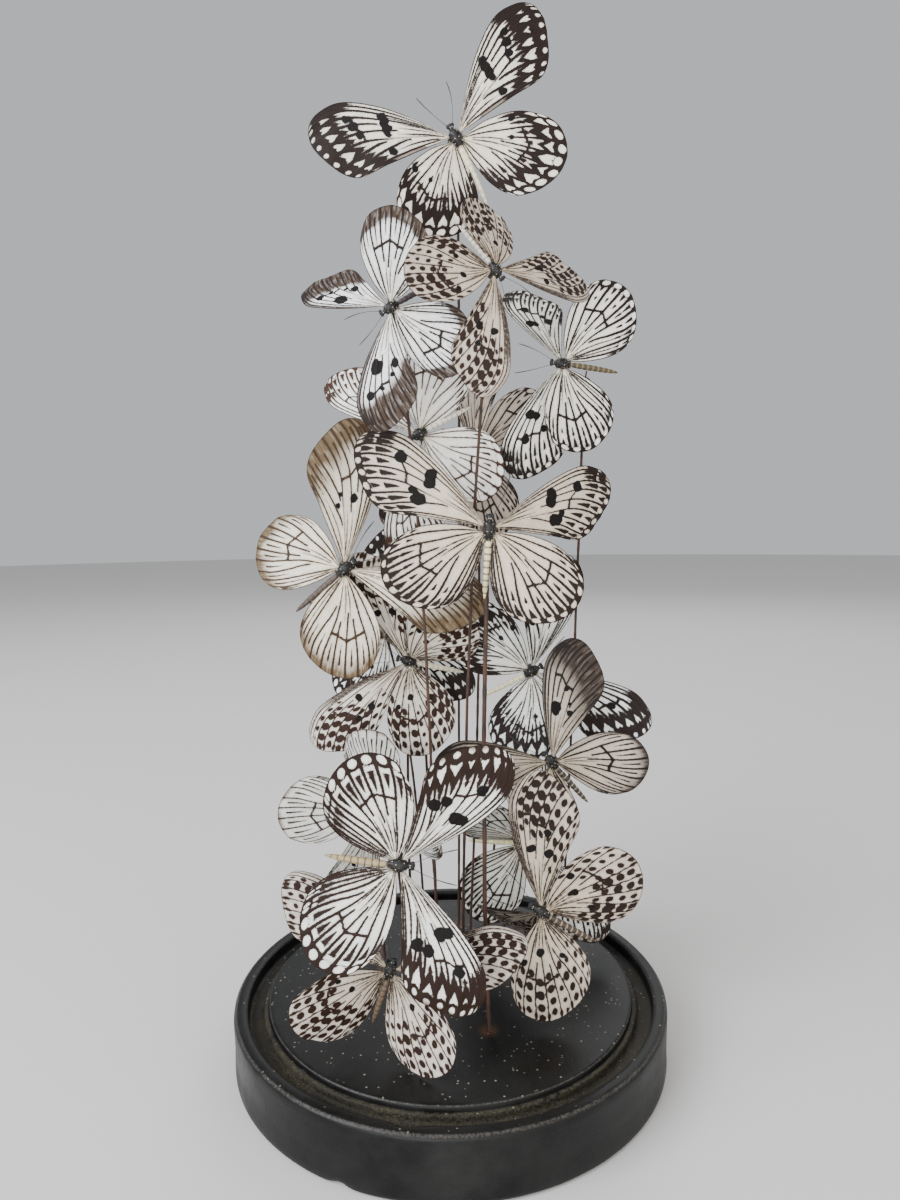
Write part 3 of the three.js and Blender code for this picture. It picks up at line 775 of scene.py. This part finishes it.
def wing_blots(sheet, blots, rough, seed):
    """How far each point lies inside a soft black spot, in mm. A spot is (place across in cells, share
    outward, half its width, half its length); its length runs away from the root."""
    inside = np.full(sheet["width"].shape, -9.0)
    wing = sheet["wing"]
    for place, outward, half_width, half_length in blots:
        lines = vein_lines(wing, np.array([outward]))[:, 0]
        across = np.interp(place, np.arange(len(lines)), lines)
        centre = wing_plane(wing, np.array(across), np.array(float(outward)))
        way = (centre - wing["root"]) / np.linalg.norm(centre - wing["root"])
        from_centre = sheet["flat"] - centre
        along = from_centre @ way
        aside = from_centre @ np.array([way[1], -way[0]])
        inside = np.maximum(inside, blob(aside, along, half_width, half_length))
    uneven = ripple(sheet["flat"].reshape(-1, 2), 4, seed).reshape(inside.shape)
    return inside + rough * uneven


def wing_shade(sheet, shading, seed):
    """Where the wing is smoky or tan, 0 to 1: a margin of some depth, softened and broken up, and the leading
    and trailing strips."""
    margin, soft, lead, trail = shading
    uneven = ripple(sheet["flat"].reshape(-1, 2), 12, seed).reshape(sheet["width"].shape)
    shade = np.clip((margin + 1.6 * uneven - sheet["to_margin"]) / soft + 0.5, 0, 1)
    shade = np.maximum(shade, lead * np.clip(1.6 - sheet["place"] / 1.3, 0, 1))
    return np.maximum(shade, trail * np.clip((sheet["place"] - 8.6) / 0.7, 0, 1) * (sheet["outward"] > 0.25))


# Each pattern has marks for the forewing and the hindwing, in mm on a 71 mm forewing. vein: half its width
# near the body and at the margin. band: depth of the dark margin at apex and rear, and of its teeth.
# ovals: pale spots in the band. zigzags, spots: how far in from the margin, then tooth or half length,
# then half thickness or half the share of the cell. drops: first and last distance from the margin and
# half width. streaks: which cells, from and to what distance from the root, and half width.
PATTERNS = {
    "zigzag": {
        "fore": {
            "vein": (0.5, 1.35), "vein_taper": 46, "band": (6.2, 4.8, 2.6), "ovals": [(2.2, 1.25, 0.19)],
            "zigzags": [(13.0, 6.0, 1.3)],
            "streaks": [((3, 4, 5), 4, 27, 0.5), ((7, 8), 6, 27, 0.5), ((2,), 8, 40, 0.3)],
        },
        "hind": {
            "vein": (0.38, 1.0), "vein_taper": 32, "band": (5.8, 5.8, 1.6), "ovals": [(3.0, 2.0, 0.33)],
            "zigzags": [(12.0, 5.5, 1.3)], "drops": [(17, 24, 1.1)], "streaks": [((3, 4), 6, 26, 0.28)],
        },
    },
    "lattice": {
        "fore": {
            "vein": (0.45, 1.1), "vein_taper": 36, "band": (4.6, 4.6, 1.8), "ovals": [(2.2, 1.5, 0.22)],
            "zigzags": [(11.5, 7.0, 1.3)], "drops": [(15, 21, 1.2)],
            "streaks": [((3, 4, 5), 4, 27, 0.45), ((7, 8, 9), 6, 36, 0.55), ((4,), 28, 40, 0.25)],
        },
        "hind": {
            "vein": (0.45, 1.05), "vein_taper": 32, "band": (5.0, 5.0, 1.0), "ovals": [(2.8, 2.0, 0.32)],
            "drops": [(8, 17, 1.3)], "streaks": [((2, 3, 4, 5), 5, 24, 0.4), ((7, 8, 9), 5, 44, 0.6)],
        },
    },
    "spotted": {
        "fore": {
            "vein": (0.34, 0.24), "edge": 0.35, "stagger": 1.7, "vein_ends": (2.6, 2.6, 0.95),
            "spots": [
                (3.4, 2.2, 0.22), (9.4, 2.1, 0.42), (15.8, 2.3, 0.42), (22.4, 2.2, 0.4), (29.0, 1.7, 0.34),
            ],
            "streaks": [((2, 3, 4, 5), 4, 26, 0.34), ((0, 1), 12, 54, 0.7), ((7, 8, 9), 5, 26, 0.4)],
        },
        "hind": {
            "vein": (0.34, 0.24), "edge": 0.35, "stagger": 1.6, "vein_ends": (2.5, 2.5, 0.95),
            "spots": [(3.2, 2.1, 0.22), (8.8, 2.0, 0.42), (15.0, 2.2, 0.42), (21.6, 1.9, 0.38)],
            "streaks": [((2, 3, 4, 5), 3, 19, 0.34), ((7, 8, 9), 4, 22, 0.4)],
        },
    },
    "streaked": {
        "fore": {
            "vein": (0.4, 0.8), "vein_taper": 34, "band": (2.2, 1.6, 1.8), "ovals": [(1.8, 1.3, 0.26)],
            "drops": [(3, 9, 1.2), (10, 17, 1.0)],
            "streaks": [((3, 4, 5), 5, 30, 0.35), ((7, 8), 6, 30, 0.4)],
        },
        "hind": {
            "vein": (0.4, 0.85), "vein_taper": 34, "band": (2.6, 1.4, 2.0), "ovals": [(2.1, 1.7, 0.3)],
            "drops": [(3, 9, 1.2), (10, 15, 0.8)],
            "streaks": [((2, 3, 4), 6, 24, 0.35), ((7, 8), 5, 34, 0.35)],
        },
    },
    "thin": {
        "fore": {
            "vein": (0.34, 0.5), "edge": 0.35, "drops": [(5, 15, 0.6)],
            "streaks": [((4, 5), 5, 28, 0.25), ((8,), 8, 34, 0.25)],
        },
        "hind": {
            "vein": (0.34, 0.5), "edge": 0.35, "drops": [(5, 16, 0.62)],
            "streaks": [((3, 4), 6, 24, 0.25), ((8,), 6, 38, 0.25)],
        },
    },
}

# The look of each specimen: its pattern, the colours of the bare wing, of the marks and of the smoky or tan
# edge, the edge itself (depth at the margin, softness, leading and trailing strength) for fore and hind,
# black spots on the forewings and hindwings, the abdomen's colours above and at its bands, and changes to
# the pattern. vein: how much wider the veins are. An entry says only where it differs from the usual look.
USUAL_LOOK = {"fore_blots": [], "hind_blots": [], "hind_edge": (-4, 2, 0, 0), "vein": 1}
SPOTTED_LOOK = dict(
    pattern="spotted", tint="#4d3d32", fore_edge=(-4, 2, 0.6, 0.25),
    fore_blots=[(4.4, 0.42, 2.4, 2.1), (7.6, 0.50, 2.2, 2.4), (6.5, 0.62, 1.7, 2.0)],
    hind_blots=[(3.6, 0.40, 1.9, 2.1), (1.5, 0.52, 1.6, 1.8), (7.4, 0.50, 1.6, 1.9)],
)
ZIGZAG_LOOK = dict(
    pattern="zigzag", tint="#6b5848", fore_edge=(-4, 2, 0.3, 0.4),
    abdomen_hues=("#ded8b6", "#c6bd92"),
)
LOOKS = {
    "top": dict(
        ZIGZAG_LOOK, ground="#efe9dc", pigment="#1b110d", fore_edge=(-4, 2, 0.3, 0.9),
        fore_blots=[(2.4, 0.40, 2.0, 2.6), (3.5, 0.40, 2.4, 2.8), (4.7, 0.41, 2.6, 2.6),
        (5.5, 0.43, 1.6, 2.0), (3.2, 0.61, 2.2, 2.4), (4.2, 0.60, 2.6, 2.8), (5.2, 0.60, 2.0, 2.2),
        (8.4, 0.50, 1.9, 2.4)], hind_blots=[(0.9, 0.55, 1.6, 2.0), (3.0, 0.50, 1.2, 1.4)],
        abdomen_hues=("#e4dcc0", "#cfc49c")),
    "upper_left": dict(
        pattern="thin", ground="#fbfcfb", pigment="#1f1713", tint="#44362b", fore_edge=(20, 6, 0.95, 0),
        hind_edge=(9, 3, 0, 0), fore_blots=[(4.0, 0.42, 3.6, 5.0), (3.3, 0.60, 2.4, 2.6),
        (4.9, 0.60, 1.8, 1.5), (6.6, 0.56, 1.5, 1.6), (7.7, 0.50, 2.2, 3.2)],
        abdomen_hues=("#241d1b", "#2e2522"), vein=1.45),
    "upper_middle": dict(
        SPOTTED_LOOK, ground="#c2b4a6", pigment="#22160f", abdomen_hues=("#c4bdae", "#8b8072")),
    "upper_right": dict(
        pattern="streaked", ground="#f1eee5", pigment="#170f0b", tint="#a09282", fore_edge=(1, 3, 0.2, 0),
        hind_edge=(0, 3, 0, 0), fore_blots=[(3.6, 0.41, 2.8, 3.0), (4.8, 0.43, 2.2, 2.6),
        (4.3, 0.60, 2.6, 3.0), (6.6, 0.58, 1.8, 2.0), (7.6, 0.54, 2.4, 3.4)],
        abdomen_hues=("#4a3f2e", "#8b7b50"), vein=1.2),
    "behind_left": dict(
        pattern="lattice", ground="#fbfbf6", pigment="#382519", tint="#a49c92", fore_edge=(1, 3, 0.2, 0),
        hind_edge=(-2, 3, 0, 0), fore_blots=[(4.4, 0.44, 2.4, 2.6)], abdomen_hues=("#e3dfcf", "#b3a98f"),
        fore_marks={"vein": (0.4, 0.7), "band": (2.2, 1.6, 1.6), "ovals": [(1.8, 1.2, 0.26)],
        "zigzags": [], "drops": [(4, 10, 1.3), (12, 17, 1.0)]}, hind_marks={"vein": (0.32, 0.6),
        "band": (4.4, 4.4, 0.4), "ovals": [(2.5, 2.2, 0.38)], "zigzags": [], "drops": [(8, 14, 0.8)],
        "streaks": [((3,), 8, 20, 0.25)]}),
    "behind_right": dict(
        pattern="streaked", ground="#c8bbb0", pigment="#221813", tint="#8d7c70", fore_edge=(4, 4, 0.8, 0),
        hind_edge=(1, 4, 0, 0), abdomen_hues=("#4f473f", "#7f7a60")),
    "middle_left": dict(
        pattern="thin", ground="#f0e8d6", pigment="#37281a", tint="#65543c", fore_edge=(18, 20, 0.8, 0.2),
        hind_edge=(8, 11, 0, 0),
        fore_blots=[(4.6, 0.43, 2.0, 2.4), (6.7, 0.52, 1.1, 1.4), (7.6, 0.46, 1.2, 1.4)],
        abdomen_hues=("#4c4138", "#33291f"), vein=1.35),
    "centre": dict(
        pattern="streaked", ground="#d8cbba", pigment="#1b110c", tint="#a08f7d",
        fore_edge=(-1, 3, 0.25, 0), hind_edge=(-4, 3, 0, 0), fore_blots=[(3.3, 0.41, 3.4, 2.8),
        (4.6, 0.42, 3.2, 3.0), (3.6, 0.60, 2.8, 3.2), (6.6, 0.56, 1.9, 2.1), (7.6, 0.54, 3.0, 4.0)],
        abdomen_hues=("#d6c9a0", "#3b3028"), fore_marks={"vein": (0.38, 0.7), "band": (3.0, 2.4, 1.6),
        "ovals": [(2.0, 1.3, 0.24)], "drops": [(4, 9, 1.4), (10, 18, 1.4)], "streaks": [((3, 4, 5),
        5, 24, 0.35), ((9,), 6, 40, 0.3)]}, hind_marks={"vein": (0.4, 0.85), "band": (3.0, 1.4, 2.2),
        "ovals": [(2.0, 1.6, 0.26)], "drops": [(3, 10, 1.5), (11, 16, 0.9)], "streaks": [((3, 4),
        6, 24, 0.4), ((8, 9), 5, 40, 0.45)]}),
    "lower_right": dict(
        pattern="thin", ground="#c0b5a7", pigment="#1a1411", tint="#3a3029", fore_edge=(27, 26, 0.9, 0.4),
        hind_edge=(5, 7, 0.5, 0), fore_blots=[(4.2, 0.38, 2.8, 4.6), (5.2, 0.56, 1.6, 1.5),
        (6.6, 0.50, 1.0, 1.1), (7.6, 0.45, 1.7, 1.9)], abdomen_hues=("#3f352d", "#a39a84"), vein=1.5),
    "back_right": dict(
        ZIGZAG_LOOK, ground="#f2f5f2", pigment="#1c120e",
        fore_blots=[(4.2, 0.42, 2.5, 2.4), (4.6, 0.60, 2.0, 2.2), (8.4, 0.52, 1.7, 2.0)],
        hind_blots=[(3.0, 0.50, 1.4, 1.5), (0.9, 0.55, 1.4, 1.8)]),
    "inner_left": dict(
        SPOTTED_LOOK, ground="#e6dfd2", pigment="#2a1911", abdomen_hues=("#c9c0a8", "#a79b84")),
    "back_left": dict(
        ZIGZAG_LOOK, ground="#f0f2ee", pigment="#1c120e",
        fore_blots=[(4.2, 0.42, 2.5, 2.4), (4.6, 0.60, 2.0, 2.2)], hind_blots=[(3.0, 0.50, 1.4, 1.5)]),
    "front": dict(
        pattern="lattice", ground="#efefe9", pigment="#21130c", tint="#8f8272",
        fore_edge=(1.5, 2, 0.1, 0.85), fore_blots=[(3.0, 0.40, 2.6, 3.0), (4.2, 0.41, 3.0, 3.4),
        (3.9, 0.62, 2.6, 3.0), (6.6, 0.55, 2.7, 2.9), (7.9, 0.54, 2.9, 3.2)],
        abdomen_hues=("#a08e68", "#4c3d2c")),
    "back_low": dict(
        pattern="thin", ground="#dcdbd5", pigment="#2b2119", tint="#8b7d71", fore_edge=(3.5, 4, 0.4, 0),
        hind_edge=(2, 4, 0, 0), fore_blots=[(5.0, 0.44, 1.4, 1.5), (7.4, 0.48, 1.3, 1.5)],
        abdomen_hues=("#8d8577", "#5f564b")),
    "front_low": dict(
        SPOTTED_LOOK, ground="#d0c6ba", pigment="#24150e",
        fore_blots=[(4.0, 0.42, 2.1, 2.1), (7.5, 0.50, 2.0, 2.2)],
        hind_blots=[(3.6, 0.40, 1.8, 1.9), (1.5, 0.52, 1.4, 1.6)], abdomen_hues=("#6b5947", "#4a3b2f")),
    "right_low": dict(
        SPOTTED_LOOK, ground="#c6b9aa", pigment="#1f130e", fore_edge=(-4, 2, 0.7, 0.25),
        fore_blots=[(4.2, 0.40, 2.5, 2.1), (7.6, 0.46, 2.4, 2.4), (6.4, 0.58, 1.8, 2.1)],
        hind_blots=[(3.8, 0.38, 2.0, 2.6), (1.4, 0.50, 1.9, 2.1), (7.4, 0.50, 1.5, 1.8)],
        abdomen_hues=("#3f342c", "#a8977a")),
    "back_right_low": dict(
        pattern="streaked", ground="#e9eae2", pigment="#221813", tint="#8f8579", fore_edge=(3, 4, 0.3, 0),
        hind_edge=(0, 3, 0, 0), fore_blots=[(4.4, 0.42, 2.2, 2.2)], abdomen_hues=("#e6e0b0", "#c9c294")),
}


def wing_scales():
    """Rows of tiny scales on a dry membrane. The marks' edges come from the distance to them, roughened by
    about 0.1 mm, and the bare part is mottled and slightly darker beside the marks."""
    material, tree, shader = new_material("wing_scales")
    along = add(tree, "UVMap", uv_map="along_veins")
    flat = add(tree, "UVMap", uv_map="flat")
    ink = add(tree, "Attribute", out="Fac", attribute_name="ink")
    blot = add(tree, "Attribute", out="Fac", attribute_name="blot")
    shade = add(tree, "Attribute", out="Fac", attribute_name="shade")
    ground = add(tree, "Attribute", out="Color", attribute_name="ground")
    pigment = add(tree, "Attribute", out="Color", attribute_name="pigment")
    tint = add(tree, "Attribute", out="Color", attribute_name="tint")

    powder = add(tree, "TexNoise", {"Vector": flat, "Scale": 260.0, "Detail": 2.0})
    ragged = add(tree, "MapRange", {
        "Value": powder, "From Min": 0.3, "From Max": 0.7, "To Min": -0.16, "To Max": 0.16,
    })
    clouds = add(tree, "TexNoise", {"Vector": flat, "Scale": 14.0, "Detail": 5.0, "Roughness": 0.6})
    brushed = add(tree, "Mapping", {"Vector": along, "Scale": (1.0, 0.1, 1.0)})
    fibres = add(tree, "TexNoise", {"Vector": brushed, "Scale": 140.0, "Detail": 3.0})

    mottled = add(tree, "MapRange", {
        "Value": clouds, "From Min": 0.3, "From Max": 0.7, "To Min": 0.84, "To Max": 1.06,
    })
    mottled = add(tree, "HueSaturation", {"Color": ground, "Value": mottled})
    streaky = add(tree, "MapRange", {
        "Value": fibres, "From Min": 0.3, "From Max": 0.7, "To Min": 0.9, "To Max": 1.06,
    })
    colour = add(tree, "HueSaturation", {"Color": mottled, "Value": streaky})
    smoke = add(tree, "Math", {0: fibres, 1: 0.5}, operation="SUBTRACT")
    smoke = add(tree, "Math", {0: smoke, 1: 1.2, 2: shade}, operation="MULTIPLY_ADD", use_clamp=True)
    smoke = add(tree, "Math", {0: smoke, 1: shade}, operation="MULTIPLY")
    colour = add(tree, "MixRGB", {"Fac": smoke, "Color1": colour, "Color2": tint})
    near_mark = add(tree, "MapRange", {"Value": ink, "From Min": -1.0, "From Max": 0.1, "To Max": 0.22})
    colour = add(tree, "MixRGB", {"Fac": near_mark, "Color1": colour, "Color2": pigment})
    edge = add(tree, "Math", {0: ink, 1: ragged}, operation="ADD")
    marked = add(tree, "MapRange", {"Value": edge, "From Min": -0.14, "From Max": 0.14})
    worn_ink = add(tree, "MapRange", {
        "Value": fibres, "From Min": 0.3, "From Max": 0.75, "To Min": 0.8, "To Max": 1.45,
    })
    ink_hue = add(tree, "HueSaturation", {"Color": pigment, "Value": worn_ink})
    colour = add(tree, "MixRGB", {"Fac": marked, "Color1": colour, "Color2": ink_hue})
    blot_edge = add(tree, "Math", {0: blot, 1: ragged}, operation="ADD")
    blotted = add(tree, "MapRange", {"Value": blot_edge, "From Min": -0.2, "From Max": 0.2})
    colour = add(tree, "MixRGB", {"Fac": blotted, "Color1": colour, "Color2": linear("#0c0706")})
    tree.links.new(colour, shader.inputs["Base Color"])

    scales_way = add(tree, "Mapping", {"Vector": along, "Scale": (1.0, 0.5, 1.0)})
    scales = add(tree, "TexVoronoi", {"Vector": scales_way, "Scale": 420.0}, out="Distance")
    bump = add(tree, "Bump", {"Height": scales, "Strength": 0.18, "Distance": 0.0002})
    tree.links.new(bump, shader.inputs["Normal"])
    shader.inputs["Roughness"].default_value = 0.62
    shader.inputs["Specular IOR Level"].default_value = 0.18
    return material


# --- Bodies -------------------------------------------------------------------------------------
# Dried insect bodies: a hairy black thorax dotted with white, a head with round eyes, hair-thin clubbed
# antennae, folded legs, and a ringed abdomen. One piece with the wings, which grow from the thorax.
ABDOMEN_RADIUS = 1.65
ABDOMEN_RINGS = 9
EYE_RADIUS = 0.95
ANTENNA_LENGTH = 22
HAIRS = 320
HAIR_RADIUS = 0.11
# White dots of the right side: on the thorax, and one on the head.
WHITE_DOTS = [(1.5, 3.6, 1.9), (2.3, 1.4, 1.6), (1.1, 0.1, 2.8), (1.9, -1.6, 1.5), (0.5, 6.2, 1.25)]
WHITE_DOT_RADIUS = 0.24


def dried_insect():
    """Chitin and hair: the colour comes from the piece, with a fine mottle, dull and slightly waxy."""
    material, tree, shader = new_material("dried_insect")
    place = add(tree, "TexCoord", out="Object")
    pelt = add(tree, "Attribute", out="Color", attribute_name="pelt")
    mottle = add(tree, "TexNoise", {"Vector": place, "Scale": 1500.0, "Detail": 3.0})
    value = add(tree, "MapRange", {
        "Value": mottle, "From Min": 0.3, "From Max": 0.7, "To Min": 0.7, "To Max": 1.3,
    })
    colour = add(tree, "HueSaturation", {"Color": pelt, "Value": value})
    tree.links.new(colour, shader.inputs["Base Color"])
    bump = add(tree, "Bump", {"Height": mottle, "Strength": 0.35, "Distance": 0.0002})
    tree.links.new(bump, shader.inputs["Normal"])
    shader.inputs["Roughness"].default_value = 0.55
    return material


def coloured(points, faces, hex_colour):
    """A part of one colour, in the body material."""
    pelt = np.tile(linear(hex_colour), (len(points), 1))
    return {"points": points, "faces": faces, "material": 1, "values": {"pelt": pelt}}


def trunk(hues):
    """Head, neck, thorax and abdomen as one tube along the spine. The abdomen's rings bulge and are
    banded."""
    front_y = [HEAD_FRONT - 0.1, 8.2, 7.6, 6.8, 6.1, 5.5, 5.0, 4.4, 3.6, 2.4, 1.0, -0.6, -2.0, -3.2]
    front_radii = [0.3, 0.9, 1.35, 1.5, 1.35, 1.15, 1.5, 2.1, 2.6, 3.0, 3.05, 2.8, 2.3, 1.5]
    steps = ABDOMEN_RINGS * 5
    rear = abdomen_line(steps + 1)
    share = np.linspace(0, 1, len(rear))
    ring = share * ABDOMEN_RINGS
    swell = np.interp(share, [0, 0.12, 0.35, 0.7, 0.88, 1], [0.72, 0.95, 1.0, 0.85, 0.62, 0.2])
    rear_radii = ABDOMEN_RADIUS * swell * (0.9 + 0.13 * np.abs(np.sin(np.pi * ring)))
    none = np.zeros(len(front_y))
    path = np.vstack([np.column_stack([none, front_y, none]), rear])
    sides = 20
    points, faces = tube(path, [*front_radii, *rear_radii], sides)
    upper, banded = np.array(linear(hues[0])), np.array(linear(hues[1]))
    band = (np.abs(ring % 1 - 0.5) > 0.34)[:, None]
    rear_hue = upper * (1 - band) + banded * band
    rows = np.vstack([np.tile(linear("#0c0a09"), (len(front_y), 1)), rear_hue])
    pelt = np.vstack([np.repeat(rows, sides, 0), rows[:1], rows[-1:]])
    return {"points": points, "faces": faces, "material": 1, "values": {"pelt": pelt}}


def hairs(rng):
    """Short hairs on the thorax and wing roots: each is a thin four-faced spike that leans back."""
    turn = rng.uniform(0, 2 * np.pi, HAIRS)
    y = rng.uniform(-3.2, 5.2, HAIRS)
    radius = np.interp(y, [-3.2, -0.6, 2.4, 5.2], [1.5, 2.8, 3.0, 1.3])
    out = np.column_stack([np.cos(turn), np.full(HAIRS, -0.5) + rng.normal(0, 0.45, HAIRS), np.sin(turn)])
    out /= np.linalg.norm(out, axis=1, keepdims=True)
    foot = np.column_stack([np.cos(turn) * radius * 0.93, y, np.sin(turn) * radius * 0.93])
    side = np.cross(out, rng.normal(size=(HAIRS, 3)))
    side /= np.linalg.norm(side, axis=1, keepdims=True)
    third = np.cross(out, side)
    thick = HAIR_RADIUS
    points = np.stack([
        foot + side * thick, foot - side * thick * 0.5 + third * thick * 0.87,
        foot - side * thick * 0.5 - third * thick * 0.87, foot + out * rng.uniform(1.0, 2.8, HAIRS)[:, None],
    ], 1).reshape(-1, 3)
    first = np.arange(HAIRS)[:, None] * 4
    faces = np.vstack([first + (0, 1, 3), first + (1, 2, 3), first + (2, 0, 3), first + (0, 2, 1)])
    pale = rng.uniform(size=HAIRS) < 0.22
    hue = np.where(pale[:, None], linear("#8a7e6c"), linear("#100b09"))
    return {"points": points, "faces": [faces], "material": 1, "values": {"pelt": np.repeat(hue, 4, 0)}}


def limb(points, radii, sides=6, steps=18):
    """A tube along a smooth curve through a few points, with its radius eased between them."""
    share = np.linspace(0, 1, steps)
    widths = np.interp(share, np.linspace(0, 1, len(radii)), radii)
    return tube(spline(points, share), widths, sides)


def body_parts(hues, rng):
    """Trunk, eyes, antennae, legs, white dots and hair, in the specimen's own axes."""
    parts = [trunk(hues), hairs(rng)]
    for side in (-1, 1):
        eye = ball((side * 1.15, 7.3, 0.3), EYE_RADIUS, (0, 1, 0), 10)
        parts.append(coloured(*eye, "#0a0807"))
        for x, y, z in WHITE_DOTS:
            dot = ball((side * x, y, z), WHITE_DOT_RADIUS, (0, 1, 0), 6)
            parts.append(coloured(*dot, "#d2ccbe"))
        start = np.array([side * 0.8, HEAD_FRONT - 2, 0.4])
        way = np.array([side * 0.36, 1, -0.1])
        way /= np.linalg.norm(way)
        bow = np.array([side * 1.0, 0, 0.9]) * rng.uniform(0.5, 1.5)
        route = [start + way * ANTENNA_LENGTH * k + bow * math.sin(math.pi * k) for k in (0, 0.35, 0.7, 1)]
        parts.append(coloured(*limb(route, [0.18, 0.12, 0.12, 0.2, 0.26, 0.16], steps=26), "#1d1714"))
        for row in (0, 1):
            back = row * 2.4
            route = [
                (side * 1.2, 1.6 - back, -1), (side * 3.4, 2.6 - back, -2),
                (side * 3.7, 1.4 - 1.4 * back, -3.3), (side * 3.1, -1.2 - 2 * back, -4),
            ]
            parts.append(coloured(*limb(route, [0.34, 0.26, 0.3, 0.2, 0.16]), "#2a211d"))
    return parts


def wing_part(wing, side, pose, look, kind, seed):
    """One wing with its marks as values at each point, the same above and below."""
    sheet = wing_sheet(wing)
    rng = np.random.default_rng(seed)
    marks = dict(PATTERNS[look["pattern"]][kind], **look.get(kind + "_marks", {}))
    thin, thick = marks["vein"]
    marks["vein"] = (thin * look["vein"], thick * look["vein"])
    rough = 0.12 * ripple(sheet["flat"].reshape(-1, 2), 2.4, seed).reshape(sheet["width"].shape)
    ink = wing_ink(sheet, marks, rng) + rough
    blot = wing_blots(sheet, look[kind + "_blots"], 0.45, seed)
    shade = wing_shade(sheet, look[kind + "_edge"], seed + 5)
    whole = {
        "ink": ink, "blot": blot, "shade": shade, "flat": sheet["flat"] / 100,
        "along_veins": np.stack([sheet["place"] * 4 + 0 * sheet["width"], sheet["from_root"]], -1) / 100,
    }
    for key in ("ground", "pigment", "tint"):
        whole[key] = np.broadcast_to(linear(look[key]), (*ink.shape, 4))
    warmth = 0.5 * np.exp(-sheet["from_root"] / 15)[..., None]
    whole["ground"] = whole["ground"] * (1 - warmth) + np.array(linear("#cdb98c")) * warmth
    both = {key: np.concatenate([grid, grid[:, ::-1]], axis=1) for key, grid in whole.items()}
    values = {key: grid.reshape(-1, *grid.shape[2:]) for key, grid in both.items()}
    points, faces = closed_sheet(*bent_wing(sheet, side, pose, seed), side)
    return {"points": points, "faces": faces, "values": values}


specimen_materials = [wing_scales(), dried_insect()]
for number, specimen in enumerate(SPECIMENS):
    look = {**USUAL_LOOK, **LOOKS[specimen["name"]]}
    poses = specimen["wings"]
    parts = [
        wing_part(FOREWING, -1, poses[0], look, "fore", 10 * number + 1),
        wing_part(FOREWING, 1, poses[1], look, "fore", 10 * number + 2),
        wing_part(HINDWING, -1, poses[2], look, "hind", 10 * number + 3),
        wing_part(HINDWING, 1, poses[3], look, "hind", 10 * number + 4),
    ]
    parts += body_parts(look["abdomen_hues"], np.random.default_rng(number))
    turned, at = placement(specimen)
    for part in parts:
        part["points"] = part["points"] @ turned.T + at
    insect = make_piece(f"specimen_{specimen['name']}", parts, specimen_materials)
    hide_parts(f"butterfly_{specimen['name']}")
    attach(insect, "root")
